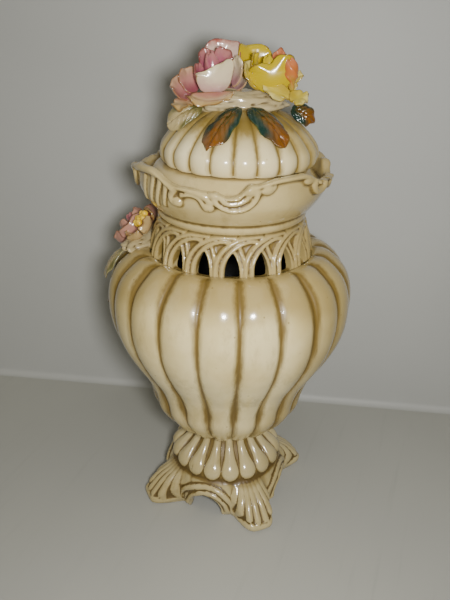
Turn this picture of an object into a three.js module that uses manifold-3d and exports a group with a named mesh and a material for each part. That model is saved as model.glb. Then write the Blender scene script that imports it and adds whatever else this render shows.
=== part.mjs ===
import * as THREE from 'three';
import { mergeVertices } from 'three/addons/utils/BufferGeometryUtils.js';
import Module from 'manifold-3d';

// A lidded potpourri vase in glazed earthenware: lobed bowl on a square scrolled foot, pierced neck,
// scrolled collar, and a loose lid topped with modelled roses; a second spray sits on the front shoulder.
// Millimetres, +Z up, origin on the vase's axis at the table; the front, with the spray, faces -Y.

const wasm = await Module();
wasm.setup();

const gap = 0.3;

const footTop = 58;
const footSideRadius = 46;
const footToeRadius = 65.5;
const footLobes = 18;
const archHeight = 17;
const archHalfAngle = 17;

const bowlLobes = 20;
const bowlGrooveAt = 24.3;
const bowlGrooveDepth = 3;
const bowlSeat = 196.3;

const windowCount = 18;
const windowAt = 21;
const windowWidth = 9;
const windowHeight = 15;
const windowSill = 199;
const neckTop = 223;

const rimDipAt = 19.6;
const lidSeat = 257;
const mouthRadius = 36;

const lidTurn = 109.6;
const lidShift = 3.7;
const lidLobes = 22;
const lidRadius = 50.5;
const lidGrooveDepth = 2;
const ringRadius = 31;
const domeTop = 294;

const petalThickness = 1.8;

const colour = {
  glaze: 0xd9ceae, paleGlaze: 0xe4dcc4, clay: 0xcbbb98, pink: 0xc9818f, rose: 0xa54a68, blush: 0xdcc0ae,
  yellow: 0xe0c52e, lemon: 0xe3d48a, orange: 0xd67a52, leaf: 0x55602f, tan: 0xb98f4e, maroon: 0x4a1712,
};

const radians = THREE.MathUtils.degToRad;

function material(name) {
  return new THREE.MeshStandardMaterial({ color: colour[name], roughness: 0.25, metalness: 0 });
}

// Keeps only the positions, joins equal ones and drops triangles that have shrunk to a line
function welded(geometry) {
  geometry.deleteAttribute('normal');
  geometry.deleteAttribute('uv');
  const merged = mergeVertices(geometry, 1e-3);
  const index = merged.index.array;
  const kept = [];
  for (let i = 0; i < index.length; i += 3) {
    const [a, b, c] = [index[i], index[i + 1], index[i + 2]];
    if (a !== b && b !== c && c !== a) kept.push(a, b, c);
  }
  merged.setIndex(kept);
  return merged;
}

function solidOf(geometry) {
  const clean = welded(geometry);
  return new wasm.Manifold(new wasm.Mesh({
    numProp: 3,
    vertProperties: new Float32Array(clean.attributes.position.array),
    triVerts: new Uint32Array(clean.index.array),
  }));
}

function geometryOf(solid) {
  const mesh = solid.getMesh();
  const geometry = new THREE.BufferGeometry();
  geometry.setAttribute('position', new THREE.BufferAttribute(mesh.vertProperties, 3));
  geometry.setIndex(new THREE.BufferAttribute(mesh.triVerts, 1));
  return geometry;
}

function meshOf(name, solid, colourName) {
  const mesh = new THREE.Mesh(geometryOf(solid), material(colourName));
  mesh.name = name;
  return mesh;
}

// Turns a profile of [radius, height] points that may change with the azimuth, in degrees
function turned(profileAt, segments, start = 0) {
  const points = profileAt(start).map(([r, z]) => new THREE.Vector2(r, z));
  const geometry = new THREE.LatheGeometry(points, segments);
  const position = geometry.attributes.position;
  for (let i = 0; i <= segments; i++) {
    const azimuth = start + (360 / segments) * (i % segments);
    const angle = radians(azimuth);
    profileAt(azimuth).forEach(([r, z], j) => {
      position.setXYZ(i * points.length + j, r * Math.cos(angle), r * Math.sin(angle), z);
    });
  }
  return solidOf(geometry);
}

// 0 on a lobe's crest and 1 in the groove between two lobes
function grooveAt(azimuth, lobes, phase) {
  const turn = ((azimuth - phase) * lobes) / 360;
  const u = turn - Math.floor(turn);
  return 1 - Math.sin(Math.PI * u) ** 0.7;
}

// Sinks a profile's points along its normal, by a depth for each point
function sunk(profile, depthOf) {
  return profile.map(([r, z], j) => {
    const [r0, z0] = profile[Math.max(0, j - 1)];
    const [r1, z1] = profile[Math.min(profile.length - 1, j + 1)];
    const length = Math.hypot(r1 - r0, z1 - z0);
    const depth = depthOf(r, z);
    return [r - (depth * (z1 - z0)) / length, z + (depth * (r1 - r0)) / length];
  });
}

function between(value, low, high) {
  return THREE.MathUtils.smoothstep(value, low, high);
}

// Foot: square on plan with a rounded toe at each corner, an arch in each side and lobes above
function pedestalFoot() {
  const lobeEnd = [41.5, 29];
  function profileAt(azimuth) {
    const side = Math.abs((((azimuth % 90) + 135) % 90) - 45);
    const toe = between(side, 25, 40);
    const edge = footSideRadius + (footToeRadius - footSideRadius) * toe;
    const lift = side < archHalfAngle ? archHeight * Math.sqrt(1 - (side / archHalfAngle) ** 2) : 0;
    const groove = grooveAt(azimuth, footLobes, 15);
    const topAt = (share) => lobeEnd[1] - 1 - (9 + 13 * toe) * share ** (1 + 0.4 * toe);
    const across = (share) => lobeEnd[0] + (edge - lobeEnd[0]) * share;
    const crown = Math.max(topAt(0.9), lift + 2);
    return [
      [0, footTop - gap], [25.2, footTop - gap], [25.8 - 0.4 * groove, 54.5], [28.4 - groove, 50],
      [33.5 - 1.8 * groove, 45], [38.6 - 2.2 * groove, 41], [41.9 - 2.4 * groove, 36],
      [42.6 - 2.4 * groove, 32], [across(0.03) - 1.5 * groove, topAt(0)],
      [across(0.45), topAt(0.45)],
      [across(0.9), crown], [edge, Math.max(crown - 3, lift + 1.2)], [edge - 0.8, lift],
      [edge - 6, lift], [edge - 7, Math.min(lift + 3, 20)], [36, 22], [31, 31], [24, 39], [14, 46], [0, 48],
    ].reverse();
  }
  return turned(profileAt, 72, 0);
}

const bowlProfile = [
  [26, footTop], [30, 60.2], [35, 62.6], [40, 65.7], [44.3, 69.6], [48.6, 74.5], [52.6, 80], [55.4, 86],
  [56.2, 92], [58.4, 100], [62.5, 110], [69, 120], [74.7, 130], [79.5, 140], [83.2, 153], [84.2, 168],
  [82.4, 180], [77.7, 190], [68, 198.6], [63, 200.4], [57.5, 200.4],
];

function bowlOutside(azimuth, lift = 0) {
  const groove = grooveAt(azimuth, bowlLobes, bowlGrooveAt);
  const shallow = (z) => between(z, footTop - 12, 70) * (z > 200 ? 0.5 : 1);
  return sunk(bowlProfile, (r, z) => bowlGrooveDepth * groove * shallow(z) - lift);
}

// Bowl: melon lobes outside and a plain hollow inside, open at the top under the neck
function melonBowl() {
  const outside = turned((azimuth) => [
    [0, footTop], ...bowlOutside(azimuth), [54.4, 199.6], [54.4, bowlSeat], [0, bowlSeat],
  ], bowlLobes * 3, bowlGrooveAt);
  const hollow = turned(() => [
    [0, 66], [22, 67], [33, 71.5], [41, 78], [46.3, 85.5], [48.6, 93], [50.8, 101], [55.8, 111],
    [62, 120], [71.5, 138], [77, 158], [77, 172], [72.5, 184], [62, 192.5], [48, 193],
    [48, bowlSeat + 5], [0, bowlSeat + 5],
  ], 36);
  return outside.subtract(hollow);
}

// Neck: a short flared ring pierced with pointed windows, left as legs between them
function piercedNeck() {
  const ring = turned(() => [
    [54, bowlSeat + gap], [54, windowSill], [52.2, 207], [50, 215], [47.4, neckTop - gap],
    [41.5, neckTop - gap], [43.5, 215], [46.5, 205], [48, bowlSeat + gap], [54, bowlSeat + gap],
  ], windowCount * 3, windowAt);
  const half = windowWidth / 2;
  const outline = new THREE.Shape();
  outline.moveTo(-half, 0);
  outline.lineTo(half, 0);
  outline.quadraticCurveTo(half * 1.1, windowHeight * 0.6, 0, windowHeight);
  outline.quadraticCurveTo(-half * 1.1, windowHeight * 0.6, -half, 0);
  let neck = ring;
  for (let i = 0; i < windowCount; i++) {
    const cut = new THREE.ExtrudeGeometry(outline, { depth: 22, bevelEnabled: false, curveSegments: 2 });
    cut.rotateX(Math.PI / 2).rotateZ(Math.PI / 2);
    cut.translate(38, 0, windowSill);
    cut.rotateZ(radians(windowAt + (360 / windowCount) * i));
    neck = neck.subtract(solidOf(cut));
  }
  return neck;
}

// Rim heights along a quarter of the collar, from a dip, in degrees and millimetres
const rimCycle = [
  [0, 250.5], [13, 258.3], [24, 262], [42, 262.9], [57, 255.4], [70, 255.1], [77, 253.3], [90, 250.5],
];

function rimHeight(azimuth) {
  const a = (((azimuth - rimDipAt) % 90) + 90) % 90;
  const next = rimCycle.findIndex(([angle]) => angle > a);
  const [a0, h0] = rimCycle[next - 1];
  const [a1, h1] = rimCycle[next];
  return THREE.MathUtils.lerp(h0, h1, (a - a0) / (a1 - a0));
}

// Collar: bead, flaring gallery with a waved rim, and the flat seat and mouth that take the lid
function scrollCollar() {
  return turned((azimuth) => {
    const rim = rimHeight(azimuth);
    return [
      [47, neckTop], [49.2, 226], [48.4, 229.4], [52, 231], [57, 237.5], [60.6, 243.5], [62.6, rim - 1.5],
      [61.8, rim], [60, rim - 0.5], [58, 248.3], [55.5, 247], [49.8, 256], [48, lidSeat],
      [mouthRadius + 0.8, lidSeat], [mouthRadius, lidSeat - 1], [mouthRadius, 251], [42.5, 244],
      [42.5, 232], [41.6, neckTop], [47, neckTop],
    ];
  }, 48, rimDipAt);
}

const domeProfile = [
  [48.5, 258.2], [50.2, 261.5], [lidRadius, 265], [50, 268.6], [47.6, 272.4], [42.6, 278.3], [33.3, 286],
  [20, 291],
];

function domeOutside(azimuth, lift = 0) {
  const groove = grooveAt(azimuth, lidLobes, 15.6 - lidTurn);
  return sunk(domeProfile, (r) => lidGrooveDepth * groove * between(r, 14, 40) - lift);
}

// Lid: a lobed dome, flat under its edge where it rests, hollow in the middle
function lidDome() {
  return turned((azimuth) => [
    [0, 280], [12, 279], [22, 272], [26, 264], [26, lidSeat + gap], [46.5, lidSeat + gap],
    ...domeOutside(azimuth), [0, domeTop],
  ], lidLobes * 3, 15.6 - lidTurn);
}

function locatingRing() {
  const top = lidSeat;
  const foot = top - 9;
  return turned(() => [
    [ringRadius - 3.5, top], [ringRadius - 3.5, foot + 1], [ringRadius - 2.5, foot],
    [ringRadius - 1, foot], [ringRadius, foot + 1], [ringRadius, top], [ringRadius - 3.5, top],
  ], 32);
}

// A petal or leaf: a squashed sphere drawn out from root to tip. Its middle is bowed by bow away from
// the side it faces, it is cupped across by a radius and rolled about its length by an angle
function blade(form, grow = 0) {
  const { root, tip, face, width, bow = 0, cup = 1e4, roll = 0, fullness = 2.8 } = form;
  const start = new THREE.Vector3(...root);
  const end = new THREE.Vector3(...tip);
  const along = end.clone().sub(start).normalize();
  const side = along.clone().cross(new THREE.Vector3(...face)).normalize();
  side.applyAxisAngle(along, radians(roll));
  const normal = side.clone().cross(along).normalize();
  start.addScaledVector(along, -grow);
  end.addScaledVector(along, grow);
  const middle = start.clone().lerp(end, 0.5).addScaledVector(normal, -2 * bow);
  const spine = new THREE.QuadraticBezierCurve3(start, middle, end);
  const geometry = new THREE.SphereGeometry(1, 10, 4);
  const position = geometry.attributes.position;
  for (let i = 0; i < position.count; i++) {
    const [x, z] = [position.getX(i), position.getZ(i)];
    const round = Math.hypot(x, z);
    const norm = (Math.abs(x) ** fullness + Math.abs(z) ** fullness) ** (1 / fullness);
    const full = round > 0 ? round / norm : 1;
    const t = (1 + x * full) / 2;
    const across = z * full * (width / 2 + grow) * (0.8 + 0.4 * t);
    const height = position.getY(i) * (petalThickness / 2 + grow);
    const angle = across / cup;
    const point = spine.getPoint(t);
    point.addScaledVector(side, (cup - height) * Math.sin(angle));
    point.addScaledVector(normal, cup - (cup - height) * Math.cos(angle));
    position.setXYZ(i, point.x, point.y, point.z);
  }
  return solidOf(geometry);
}

// A closed bud or rose heart: a teardrop on an axis from its root
function bud({ root, axis, length, radius }, grow = 0) {
  const spindle = [[0, 0], [0.62, 0.12], [1, 0.45], [0.8, 0.75], [0.35, 0.95], [0, 1]];
  const points = spindle.map(([r, z]) => (
    new THREE.Vector2(r * (radius + grow), z * (length + 2 * grow) - grow)
  ));
  const geometry = new THREE.LatheGeometry(points, 9).rotateX(Math.PI / 2);
  const direction = new THREE.Vector3(...axis).normalize();
  geometry.applyQuaternion(new THREE.Quaternion().setFromUnitVectors(new THREE.Vector3(0, 0, 1), direction));
  geometry.translate(...root);
  return solidOf(geometry);
}

// A petal set on a flower: the angle goes round the flower's axis, the radii are from it and the rise
// is along it
function petalOn(flower, name, angle, [rootRadius, tipRadius, tipRise], width, shape) {
  const axis = new THREE.Vector3(...flower.axis).normalize();
  const turn = new THREE.Quaternion().setFromUnitVectors(new THREE.Vector3(0, 0, 1), axis);
  const at = (radius, rise) => new THREE.Vector3(
    radius * Math.cos(radians(angle)), radius * Math.sin(radians(angle)), rise,
  ).applyQuaternion(turn).add(new THREE.Vector3(...flower.root)).toArray();
  return {
    name: `${flower.name}_${name}`,
    root: at(rootRadius, 1),
    tip: at(tipRadius, tipRise),
    face: axis.toArray(),
    width,
    ...shape,
  };
}

// Cuts a piece clear of those made before it and keeps its largest part
function clearOf(solid, others) {
  let result = solid;
  for (const other of others) {
    if (result.intersect(other).volume() > 1e-4) result = result.subtract(other);
  }
  const parts = result.decompose();
  return parts.reduce((best, part) => (part.volume() > best.volume() ? part : best)).simplify(0.02);
}

// Makes each piece in turn, clear of the solids given and of every piece before it
function arrange(pieces, solids) {
  const taken = [...solids];
  return pieces.map(({ name, colourName, make }) => {
    const solid = clearOf(make(0), taken);
    taken.push(make(gap).add(solid));
    return meshOf(name, solid, colourName);
  });
}

function blades(forms, colourName) {
  return forms.map((form) => ({ name: form.name, colourName, make: (grow) => blade(form, grow) }));
}

function buds(forms, colourName) {
  return forms.map((form) => ({ name: form.name, colourName, make: (grow) => bud(form, grow) }));
}

// The way that a petal's inner side faces
const upright = [0, -0.5, 0.86];
const facingRight = [0.4, -0.3, 0.8];
const facingLeft = [-0.6, -0.3, 0.8];
const upwards = [0, 0, 1];
const inwards = [0, 0.85, 0.5];

function petalAt(name, root, tip, face, width, shape) {
  return { name, root, tip, face, width, ...shape };
}

// A leaf bowed over what it lies on, facing outwards
function leafAt(name, root, tip, face, width, bow = -2.5) {
  return { name, root, tip, face, width, bow, cup: -22, fullness: 2.2 };
}

function lidBouquet() {
  const dome = turned((azimuth) => [
    [0, 250], [46.5, 250], ...domeOutside(azimuth, gap), [0, domeTop + gap],
  ], lidLobes * 3, 15.6 - lidTurn);
  const mound = (grow) => {
    const ball = new THREE.SphereGeometry(1, 18, 10);
    ball.scale(30 + grow, 14 + grow, 8 + grow).translate(-2, -5, 294);
    return solidOf(ball);
  };
  const inner = { bow: 2, cup: 9, roll: 9 };
  const middle = { bow: 3, cup: 15, roll: 7 };
  const low = { bow: 2, cup: 22, roll: 5 };
  const pieces = [
    { name: 'bouquet_base', colourName: 'clay', make: mound },
    ...buds([
      { name: 'pink_rose_heart', root: [-15.5, -10.5, 299], axis: [-0.11, -0.1, 0.99], length: 24, radius: 5 },
    ], 'rose'),
    ...blades([
      petalAt('pink_rose_inner_right', [-15.9, -9.6, 304.6], [-9, -8, 324.4], upright, 15, inner),
      petalAt('pink_rose_inner_back', [-16.9, -7.8, 305.3], [-21.7, -5, 324.6], upright, 12, inner),
      petalAt('pink_rose_inner_left', [-22.2, -14.3, 302.9], [-25.6, -13, 317.1], facingRight, 11, inner),
    ], 'rose'),
    ...blades([
      petalAt('pink_rose_front', [-18, -17, 300.6], [-12.5, -19, 317], inwards, 21, middle),
      petalAt('pink_rose_right', [-4.9, -14, 304], [-3.1, -14, 321.4], facingLeft, 11, middle),
      petalAt('pink_rose_back', [-13.5, -4.4, 303.2], [-11.1, 2, 329.6], upright, 25, middle),
      petalAt('pink_rose_back_left', [-27, -11, 299.7], [-32.5, -10, 314.6], [0.15, -0.5, 0.8], 15, middle),
      petalAt('pink_rose_left', [-27.5, -14.8, 297.6], [-40.6, -16, 307.8], upright, 20, middle),
    ], 'pink'),
    ...blades([
      petalAt('pink_rose_outer_front', [-17.8, -18, 301.2], [-17.4, -28, 296.5], upwards, 28, low),
      petalAt('pink_rose_outer_left', [-31.4, -17.0, 299.1], [-36.3, -24.0, 293.4], upwards, 16, low),
      petalAt('pink_rose_outer_back', [-15, 1, 299], [-15, 13, 314], upright, 28, middle),
      petalAt('pink_rose_outer_right', [-5, -2, 301], [1, 1, 313], facingLeft, 16, middle),
    ], 'blush'),
    ...buds([
      { name: 'yellow_rose_heart', root: [18, -10.5, 300], axis: [-0.14, -0.11, 0.98], length: 22, radius: 4.5 },
    ], 'yellow'),
    ...blades([
      petalAt('yellow_rose_inner_left', [10.7, -13.3, 303], [7.3, -12, 323.3], facingRight, 10, inner),
      petalAt('yellow_rose_inner_right', [24.5, -9.6, 305.9], [21.6, -6, 324.8], upright, 10, inner),
      petalAt('yellow_rose_left', [11.8, -15, 303.2], [3.1, -16, 318.8], [0.15, -0.4, 0.8], 14, middle),
      petalAt('yellow_rose_back', [9, -5.5, 305.4], [6.8, 3, 328.2], upright, 23, middle),
      petalAt('yellow_rose_front', [20.5, -17, 302.4], [15.8, -18, 320.5], inwards, 26, middle),
      petalAt('yellow_rose_back_right', [22.7, -10, 306.8], [36.3, -10, 312.2], upright, 8, inner),
    ], 'yellow'),
    ...blades([
      petalAt('yellow_rose_outer_front', [28.5, -17.0, 302.1], [38.5, -22.0, 299.0], [0, -0.4, 0.9], 13, low),
      petalAt('yellow_rose_outer_right', [21.7, -12, 302.7], [32.9, -12, 306.3], upright, 8, inner),
      petalAt('yellow_rose_outer_back', [16, 2, 300], [17, 13, 313], upright, 28, middle),
      petalAt('yellow_rose_outer_left', [24.9, -19, 306.1], [17.3, -25, 301.1], [0, -0.6, 0.8], 19, low),
    ], 'lemon'),
    ...buds([
      { name: 'orange_bud', root: [30, -15, 302.5], axis: [-0.13, -0.11, 0.98], length: 18.6, radius: 4 },
    ], 'orange'),
    ...blades([
      leafAt('leaf_front_left', [-0.8, -21.5, 293.5], [-17.5, -43.7, 275], [-0.3, -0.6, 0.8], 16),
      leafAt('leaf_front_right', [5.5, -21.5, 293.3], [25.5, -37.5, 276.7], [0.3, -0.6, 0.8], 17),
      leafAt('leaf_right', [30.5, -14, 292.5], [43.5, -15, 286], [0.1, -0.9, 0.5], 12),
      leafAt('leaf_left', [-23, -14, 293], [-43, -15, 282], [-0.25, -0.8, 0.6], 15),
      leafAt('leaf_back_left', [-10, 14, 296], [-24, 37, 283], [-0.3, 0.6, 0.8], 16),
      leafAt('leaf_back_right', [10, 14, 296], [22, 37, 283], [0.3, 0.6, 0.8], 16),
    ], 'leaf'),
  ];
  return arrange(pieces, [dome]);
}

// A cluster of stamens standing on a small dish, made as one piece
function stamenCluster({ root, axis, radius }, grow = 0) {
  const dish = new THREE.CylinderGeometry(radius + grow, radius * 0.6 + grow, 4 + 2 * grow, 12);
  dish.rotateX(Math.PI / 2);
  let cluster = solidOf(dish);
  for (let i = 0; i < 6; i++) {
    const angle = (Math.PI / 3) * i;
    const away = radius * 0.55;
    const anther = new THREE.SphereGeometry(1, 7, 5);
    anther.scale(radius * 0.3 + grow, radius * 0.3 + grow, 3 + grow);
    anther.translate(away * Math.cos(angle), away * Math.sin(angle), 3);
    cluster = cluster.add(solidOf(anther));
  }
  const geometry = geometryOf(cluster);
  const direction = new THREE.Vector3(...axis).normalize();
  geometry.applyQuaternion(new THREE.Quaternion().setFromUnitVectors(new THREE.Vector3(0, 0, 1), direction));
  geometry.translate(...root);
  return solidOf(geometry);
}

function frontSpray() {
  const bowl = turned((azimuth) => [
    [0, footTop], ...bowlOutside(azimuth, gap), [54.4, 200.4 + gap], [54.6, neckTop], [0, neckTop],
  ], bowlLobes * 3, bowlGrooveAt);
  const neck = turned(() => [
    [0, 190], [54.5, 190], [54.4, 200], [52.6, 208], [50.4, 216], [48, 224], [0, 224],
  ], windowCount * 3);
  const collar = turned(() => [
    [0, 223], [49.8, 223], [49.8, 230], [52.8, 231], [58, 238], [62, 244], [63.5, 265], [0, 265],
  ], 48);
  const rose = { name: 'front_rose', root: [-1, -66, 200], axis: [0, -0.72, 0.69] };
  const open = { name: 'open_flower', root: [15.5, -56, 208.5], axis: [0.45, -0.6, 0.66] };
  const pad = (grow) => {
    const ball = new THREE.SphereGeometry(1, 18, 8);
    ball.scale(34 + grow, 13 + grow, 8 + grow).translate(0, -59, 199);
    return solidOf(ball);
  };
  const pieces = [
    { name: 'spray_base', colourName: 'clay', make: pad },
    {
      name: 'open_flower_stamens', colourName: 'yellow',
      make: (grow) => stamenCluster({ root: [16.5, -57, 213], axis: open.axis, radius: 5.5 }, grow),
    },
    ...blades([0, 72, 144, 216, 288].map((angle, i) => (
      petalOn(open, `petal_${i + 1}`, angle - 14, [6.8, 11.5, 9], 13, { bow: 2, cup: 12, roll: 9 })
    )), 'blush'),
    ...buds([{ ...rose, name: 'front_rose_heart', length: 17, radius: 5 }], 'rose'),
    ...blades([80, 200, 320].map((angle, i) => (
      petalOn(rose, `inner_${i + 1}`, angle, [5.8, 8.5, 17], 13, { bow: 2, cup: 9, roll: 10 })
    )), 'pink'),
    ...blades([20, 92, 164, 236, 308].map((angle, i) => (
      petalOn(rose, `outer_${i + 1}`, angle, [8.5, 18, 12], 22, { bow: 4, cup: 16, roll: 8 })
    )), 'blush'),
    ...buds([
      { name: 'front_bud', root: [-33, -58, 203], axis: [-0.6, -0.45, 0.6], length: 18, radius: 5 },
    ], 'orange'),
    ...blades([
      leafAt('front_leaf_right', [27, -67, 197], [31, -81, 177], [0.4, -0.8, 0.4], 17),
      leafAt('front_leaf_low_right', [9, -79, 190], [19, -86, 152], [0.2, -1, 0.2], 17, 0),
      leafAt('front_leaf_low_left', [-17, -77, 190], [-27, -84, 158], [-0.2, -1, 0.2], 17, 0),
      leafAt('front_leaf_left', [-34, -66, 196], [-54, -70, 176], [-0.6, -0.7, 0.4], 16),
    ], 'leaf'),
  ];
  return arrange(pieces, [bowl, neck, collar]);
}

const vase = new THREE.Group();
vase.add(meshOf('pedestal_foot', pedestalFoot(), 'glaze'));
vase.add(meshOf('melon_bowl', melonBowl(), 'glaze'));
vase.add(meshOf('pierced_neck', piercedNeck(), 'glaze'));
vase.add(meshOf('scroll_collar', scrollCollar(), 'glaze'));
vase.add(...frontSpray());

const lid = new THREE.Group();
lid.add(meshOf('lid_dome', lidDome(), 'paleGlaze'));
lid.add(meshOf('lid_locating_ring', locatingRing(), 'paleGlaze'));
lid.add(...lidBouquet());
lid.rotation.z = radians(lidTurn);
lid.position.set(lidShift * Math.cos(radians(lidTurn)), lidShift * Math.sin(radians(lidTurn)), 0);

const flowerVase = new THREE.Group();
flowerVase.add(vase, lid);

export default flowerVase;
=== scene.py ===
# Lidded potpourri vase in glazed earthenware, encrusted with modelled roses
import math

import bmesh
import bpy
import numpy as np
from mathutils import Matrix, Vector, noise


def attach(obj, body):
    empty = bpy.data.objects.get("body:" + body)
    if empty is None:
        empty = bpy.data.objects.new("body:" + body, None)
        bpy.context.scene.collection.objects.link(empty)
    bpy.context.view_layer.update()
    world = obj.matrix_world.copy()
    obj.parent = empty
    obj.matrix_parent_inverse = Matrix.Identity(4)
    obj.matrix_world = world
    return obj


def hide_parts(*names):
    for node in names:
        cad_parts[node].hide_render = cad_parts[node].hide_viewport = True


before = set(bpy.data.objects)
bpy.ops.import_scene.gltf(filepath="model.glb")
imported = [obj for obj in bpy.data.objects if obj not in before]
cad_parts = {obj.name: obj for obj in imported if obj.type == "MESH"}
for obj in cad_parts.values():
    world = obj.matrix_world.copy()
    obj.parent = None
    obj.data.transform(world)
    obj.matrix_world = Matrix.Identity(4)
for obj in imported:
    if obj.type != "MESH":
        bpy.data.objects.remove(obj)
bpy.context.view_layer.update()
print("CAD frame loaded:", len(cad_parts), "nodes")


# The camera, fitted to the photograph: its place in metres, its lens and sensor in millimetres, its angles in
# degrees. "towards" is how far its view is turned from +Y
cameraSettings = {
    "place": (0.3746, 0.1334, 0.34615),
    "lens": 37.2,
    "sensor": 36,
    "nearest": 0.01,
    "pitch": 25.24,
    "yaw": -0.46,
    "roll": -1.2,
    "towards": 109.6,
}


def photoCamera(values):
    yaw, pitch, roll = [math.radians(values[name]) for name in ("yaw", "pitch", "roll")]
    flat = math.cos(pitch)
    forward = Vector((math.sin(yaw) * flat, math.cos(yaw) * flat, -math.sin(pitch)))
    level = Vector((math.cos(yaw), -math.sin(yaw), 0))
    down = forward.cross(level)
    right = level * math.cos(roll) + down * math.sin(roll)
    lower = down * math.cos(roll) - level * math.sin(roll)
    axes = Matrix((right, -lower, -forward)).transposed()
    turn = Matrix.Rotation(math.radians(values["towards"]), 3, "Z")
    data = bpy.data.cameras.new("photoCamera")
    data.lens = values["lens"]
    data.sensor_width = values["sensor"]
    data.clip_start = values["nearest"]
    camera = bpy.data.objects.new("photoCamera", data)
    camera.matrix_world = Matrix.Translation(values["place"]) @ (turn @ axes).to_4x4()
    bpy.context.scene.collection.objects.link(camera)
    bpy.context.scene.camera = camera


photoCamera(cameraSettings)


# A node's output. Arithmetic on it places the math nodes that work it out
class Wire:
    def __init__(self, tree, socket):
        self.tree = tree
        self.socket = socket

    def __add__(self, other):
        return calc("ADD", self, other)

    def __sub__(self, other):
        return calc("SUBTRACT", self, other)

    def __rsub__(self, other):
        return calc("SUBTRACT", other, self)

    def __mul__(self, other):
        return calc("MULTIPLY", self, other)

    def __truediv__(self, other):
        return calc("DIVIDE", self, other)


def plug(socket, value):
    if isinstance(value, Wire):
        value.tree.links.new(value.socket, socket)
    elif socket.type == "RGBA":
        socket.default_value = (*value, 1)
    else:
        socket.default_value = value


def placed(tree, kind, sockets=None, **settings):
    node = tree.nodes.new(kind)
    for name, value in settings.items():
        setattr(node, name, value)
    for key, value in (sockets or {}).items():
        plug(node.inputs[key], value)
    return node


# The wire from one output of a new node
def wired(tree, kind, sockets=None, output=0, **settings):
    return Wire(tree, placed(tree, kind, sockets, **settings).outputs[output])


def parted(vector):
    node = placed(vector.tree, "ShaderNodeSeparateXYZ", {0: vector})
    return [Wire(vector.tree, socket) for socket in node.outputs]


def joined(x, y, z):
    return wired(x.tree, "ShaderNodeCombineXYZ", {0: x, 1: y, 2: z})


def calc(operation, *terms, clamp=False):
    tree = next(term.tree for term in terms if isinstance(term, Wire))
    return wired(tree, "ShaderNodeMath", dict(enumerate(terms)), operation=operation, use_clamp=clamp)


def stepped(value, low, high):
    sockets = {"Value": value, "From Min": low, "From Max": high}
    return wired(value.tree, "ShaderNodeMapRange", sockets, interpolation_type="SMOOTHSTEP")


def mixed(factor, first, second):
    return wired(factor.tree, "ShaderNodeMix", {0: factor, 6: first, 7: second}, 2, data_type="RGBA")


# Lays tones over a tint, each as far as its mask lets it
def layered(tint, layers):
    for mask, tone in layers:
        tint = mixed(mask, tint, tone)
    return tint


def noisy(vector, scale, detail=3.0, rough=0.5, stretch=(1, 1, 1)):
    moved = wired(vector.tree, "ShaderNodeMapping", {"Vector": vector, "Scale": stretch})
    sockets = {"Vector": moved, "Scale": scale, "Detail": detail, "Roughness": rough}
    return wired(vector.tree, "ShaderNodeTexNoise", sockets)


# A node group. Each input is given as its first number, or as the word for its kind
def nodeGroup(name, kind, inputs, outputs):
    group = bpy.data.node_groups.new(name, kind)
    for label, value in inputs.items():
        word = {float: "Float", int: "Int"}.get(type(value), value)
        socket = group.interface.new_socket(label, in_out="INPUT", socket_type="NodeSocket" + word)
        if word != value:
            socket.default_value = value
    for label, word in outputs.items():
        group.interface.new_socket(label, in_out="OUTPUT", socket_type="NodeSocket" + word)
    given = {socket.name: Wire(group, socket) for socket in placed(group, "NodeGroupInput").outputs}
    return group, given, placed(group, "NodeGroupOutput").inputs


def shaderGroup(name, inputs, outputs=("Mask",)):
    return nodeGroup(name, "ShaderNodeTree", {"Place": "Vector", **inputs}, dict.fromkeys(outputs, "Float"))


# Brown wash left in the hollows, feathered down the wall, as a mask
def makeBrownWash():
    group, given, out = shaderGroup("brownWash", {"Hollow": 0.0, "Amount": 1.0, "Feather": 0.5})
    hollow = given["Hollow"]
    streak = noisy(given["Place"], scale=260, detail=4, rough=0.6, stretch=(1, 1, 0.16))
    patch = noisy(given["Place"], scale=46, detail=3, rough=0.55)
    swayed = hollow + (streak - 0.5) * given["Feather"] + (patch - 0.5) * 0.55
    kept = stepped(hollow, 0.0, 0.22) * stepped(swayed, 0.12, 0.85)
    plug(out["Mask"], calc("MULTIPLY", kept, given["Amount"], clamp=True))
    return group


# A soft band of brown beside the hollows, streaked down the wall and broken in patches, as a mask
def makeBrownBand():
    group, given, out = shaderGroup("brownBand", {"Washed": 0.0, "Low": 0.5, "High": 0.9})
    washed = given["Washed"]
    streak = noisy(given["Place"], scale=420, detail=4, rough=0.65, stretch=(1, 1, 0.07))
    patch = noisy(given["Place"], scale=34, detail=4, rough=0.6, stretch=(1, 1, 0.45))
    swayed = washed + (streak - 0.5) * 0.45 + (patch - 0.5) * 0.95
    plug(out["Mask"], stepped(washed, 0.1, 0.55) * stepped(swayed, given["Low"], given["High"]))
    return group


# Small brown specks in the glaze, as a mask
def makeSpecks():
    group, given, out = shaderGroup("glazeSpecks", {"Spacing": 300.0, "Size": 0.1})
    sockets = {"Vector": given["Place"], "Scale": given["Spacing"]}
    cells = placed(group, "ShaderNodeTexVoronoi", sockets).outputs
    chosen = wired(group, "ShaderNodeSeparateColor", {"Color": Wire(group, cells["Color"])})
    few = calc("GREATER_THAN", chosen, 0.86)
    dot = wired(group, "ShaderNodeMapRange", {
        "Value": Wire(group, cells["Distance"]), "From Min": given["Size"] * 0.4, "From Max": given["Size"],
        "To Min": 1.0, "To Max": 0.0,
    })
    plug(out["Mask"], calc("MULTIPLY", dot, few, clamp=True))
    return group


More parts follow.
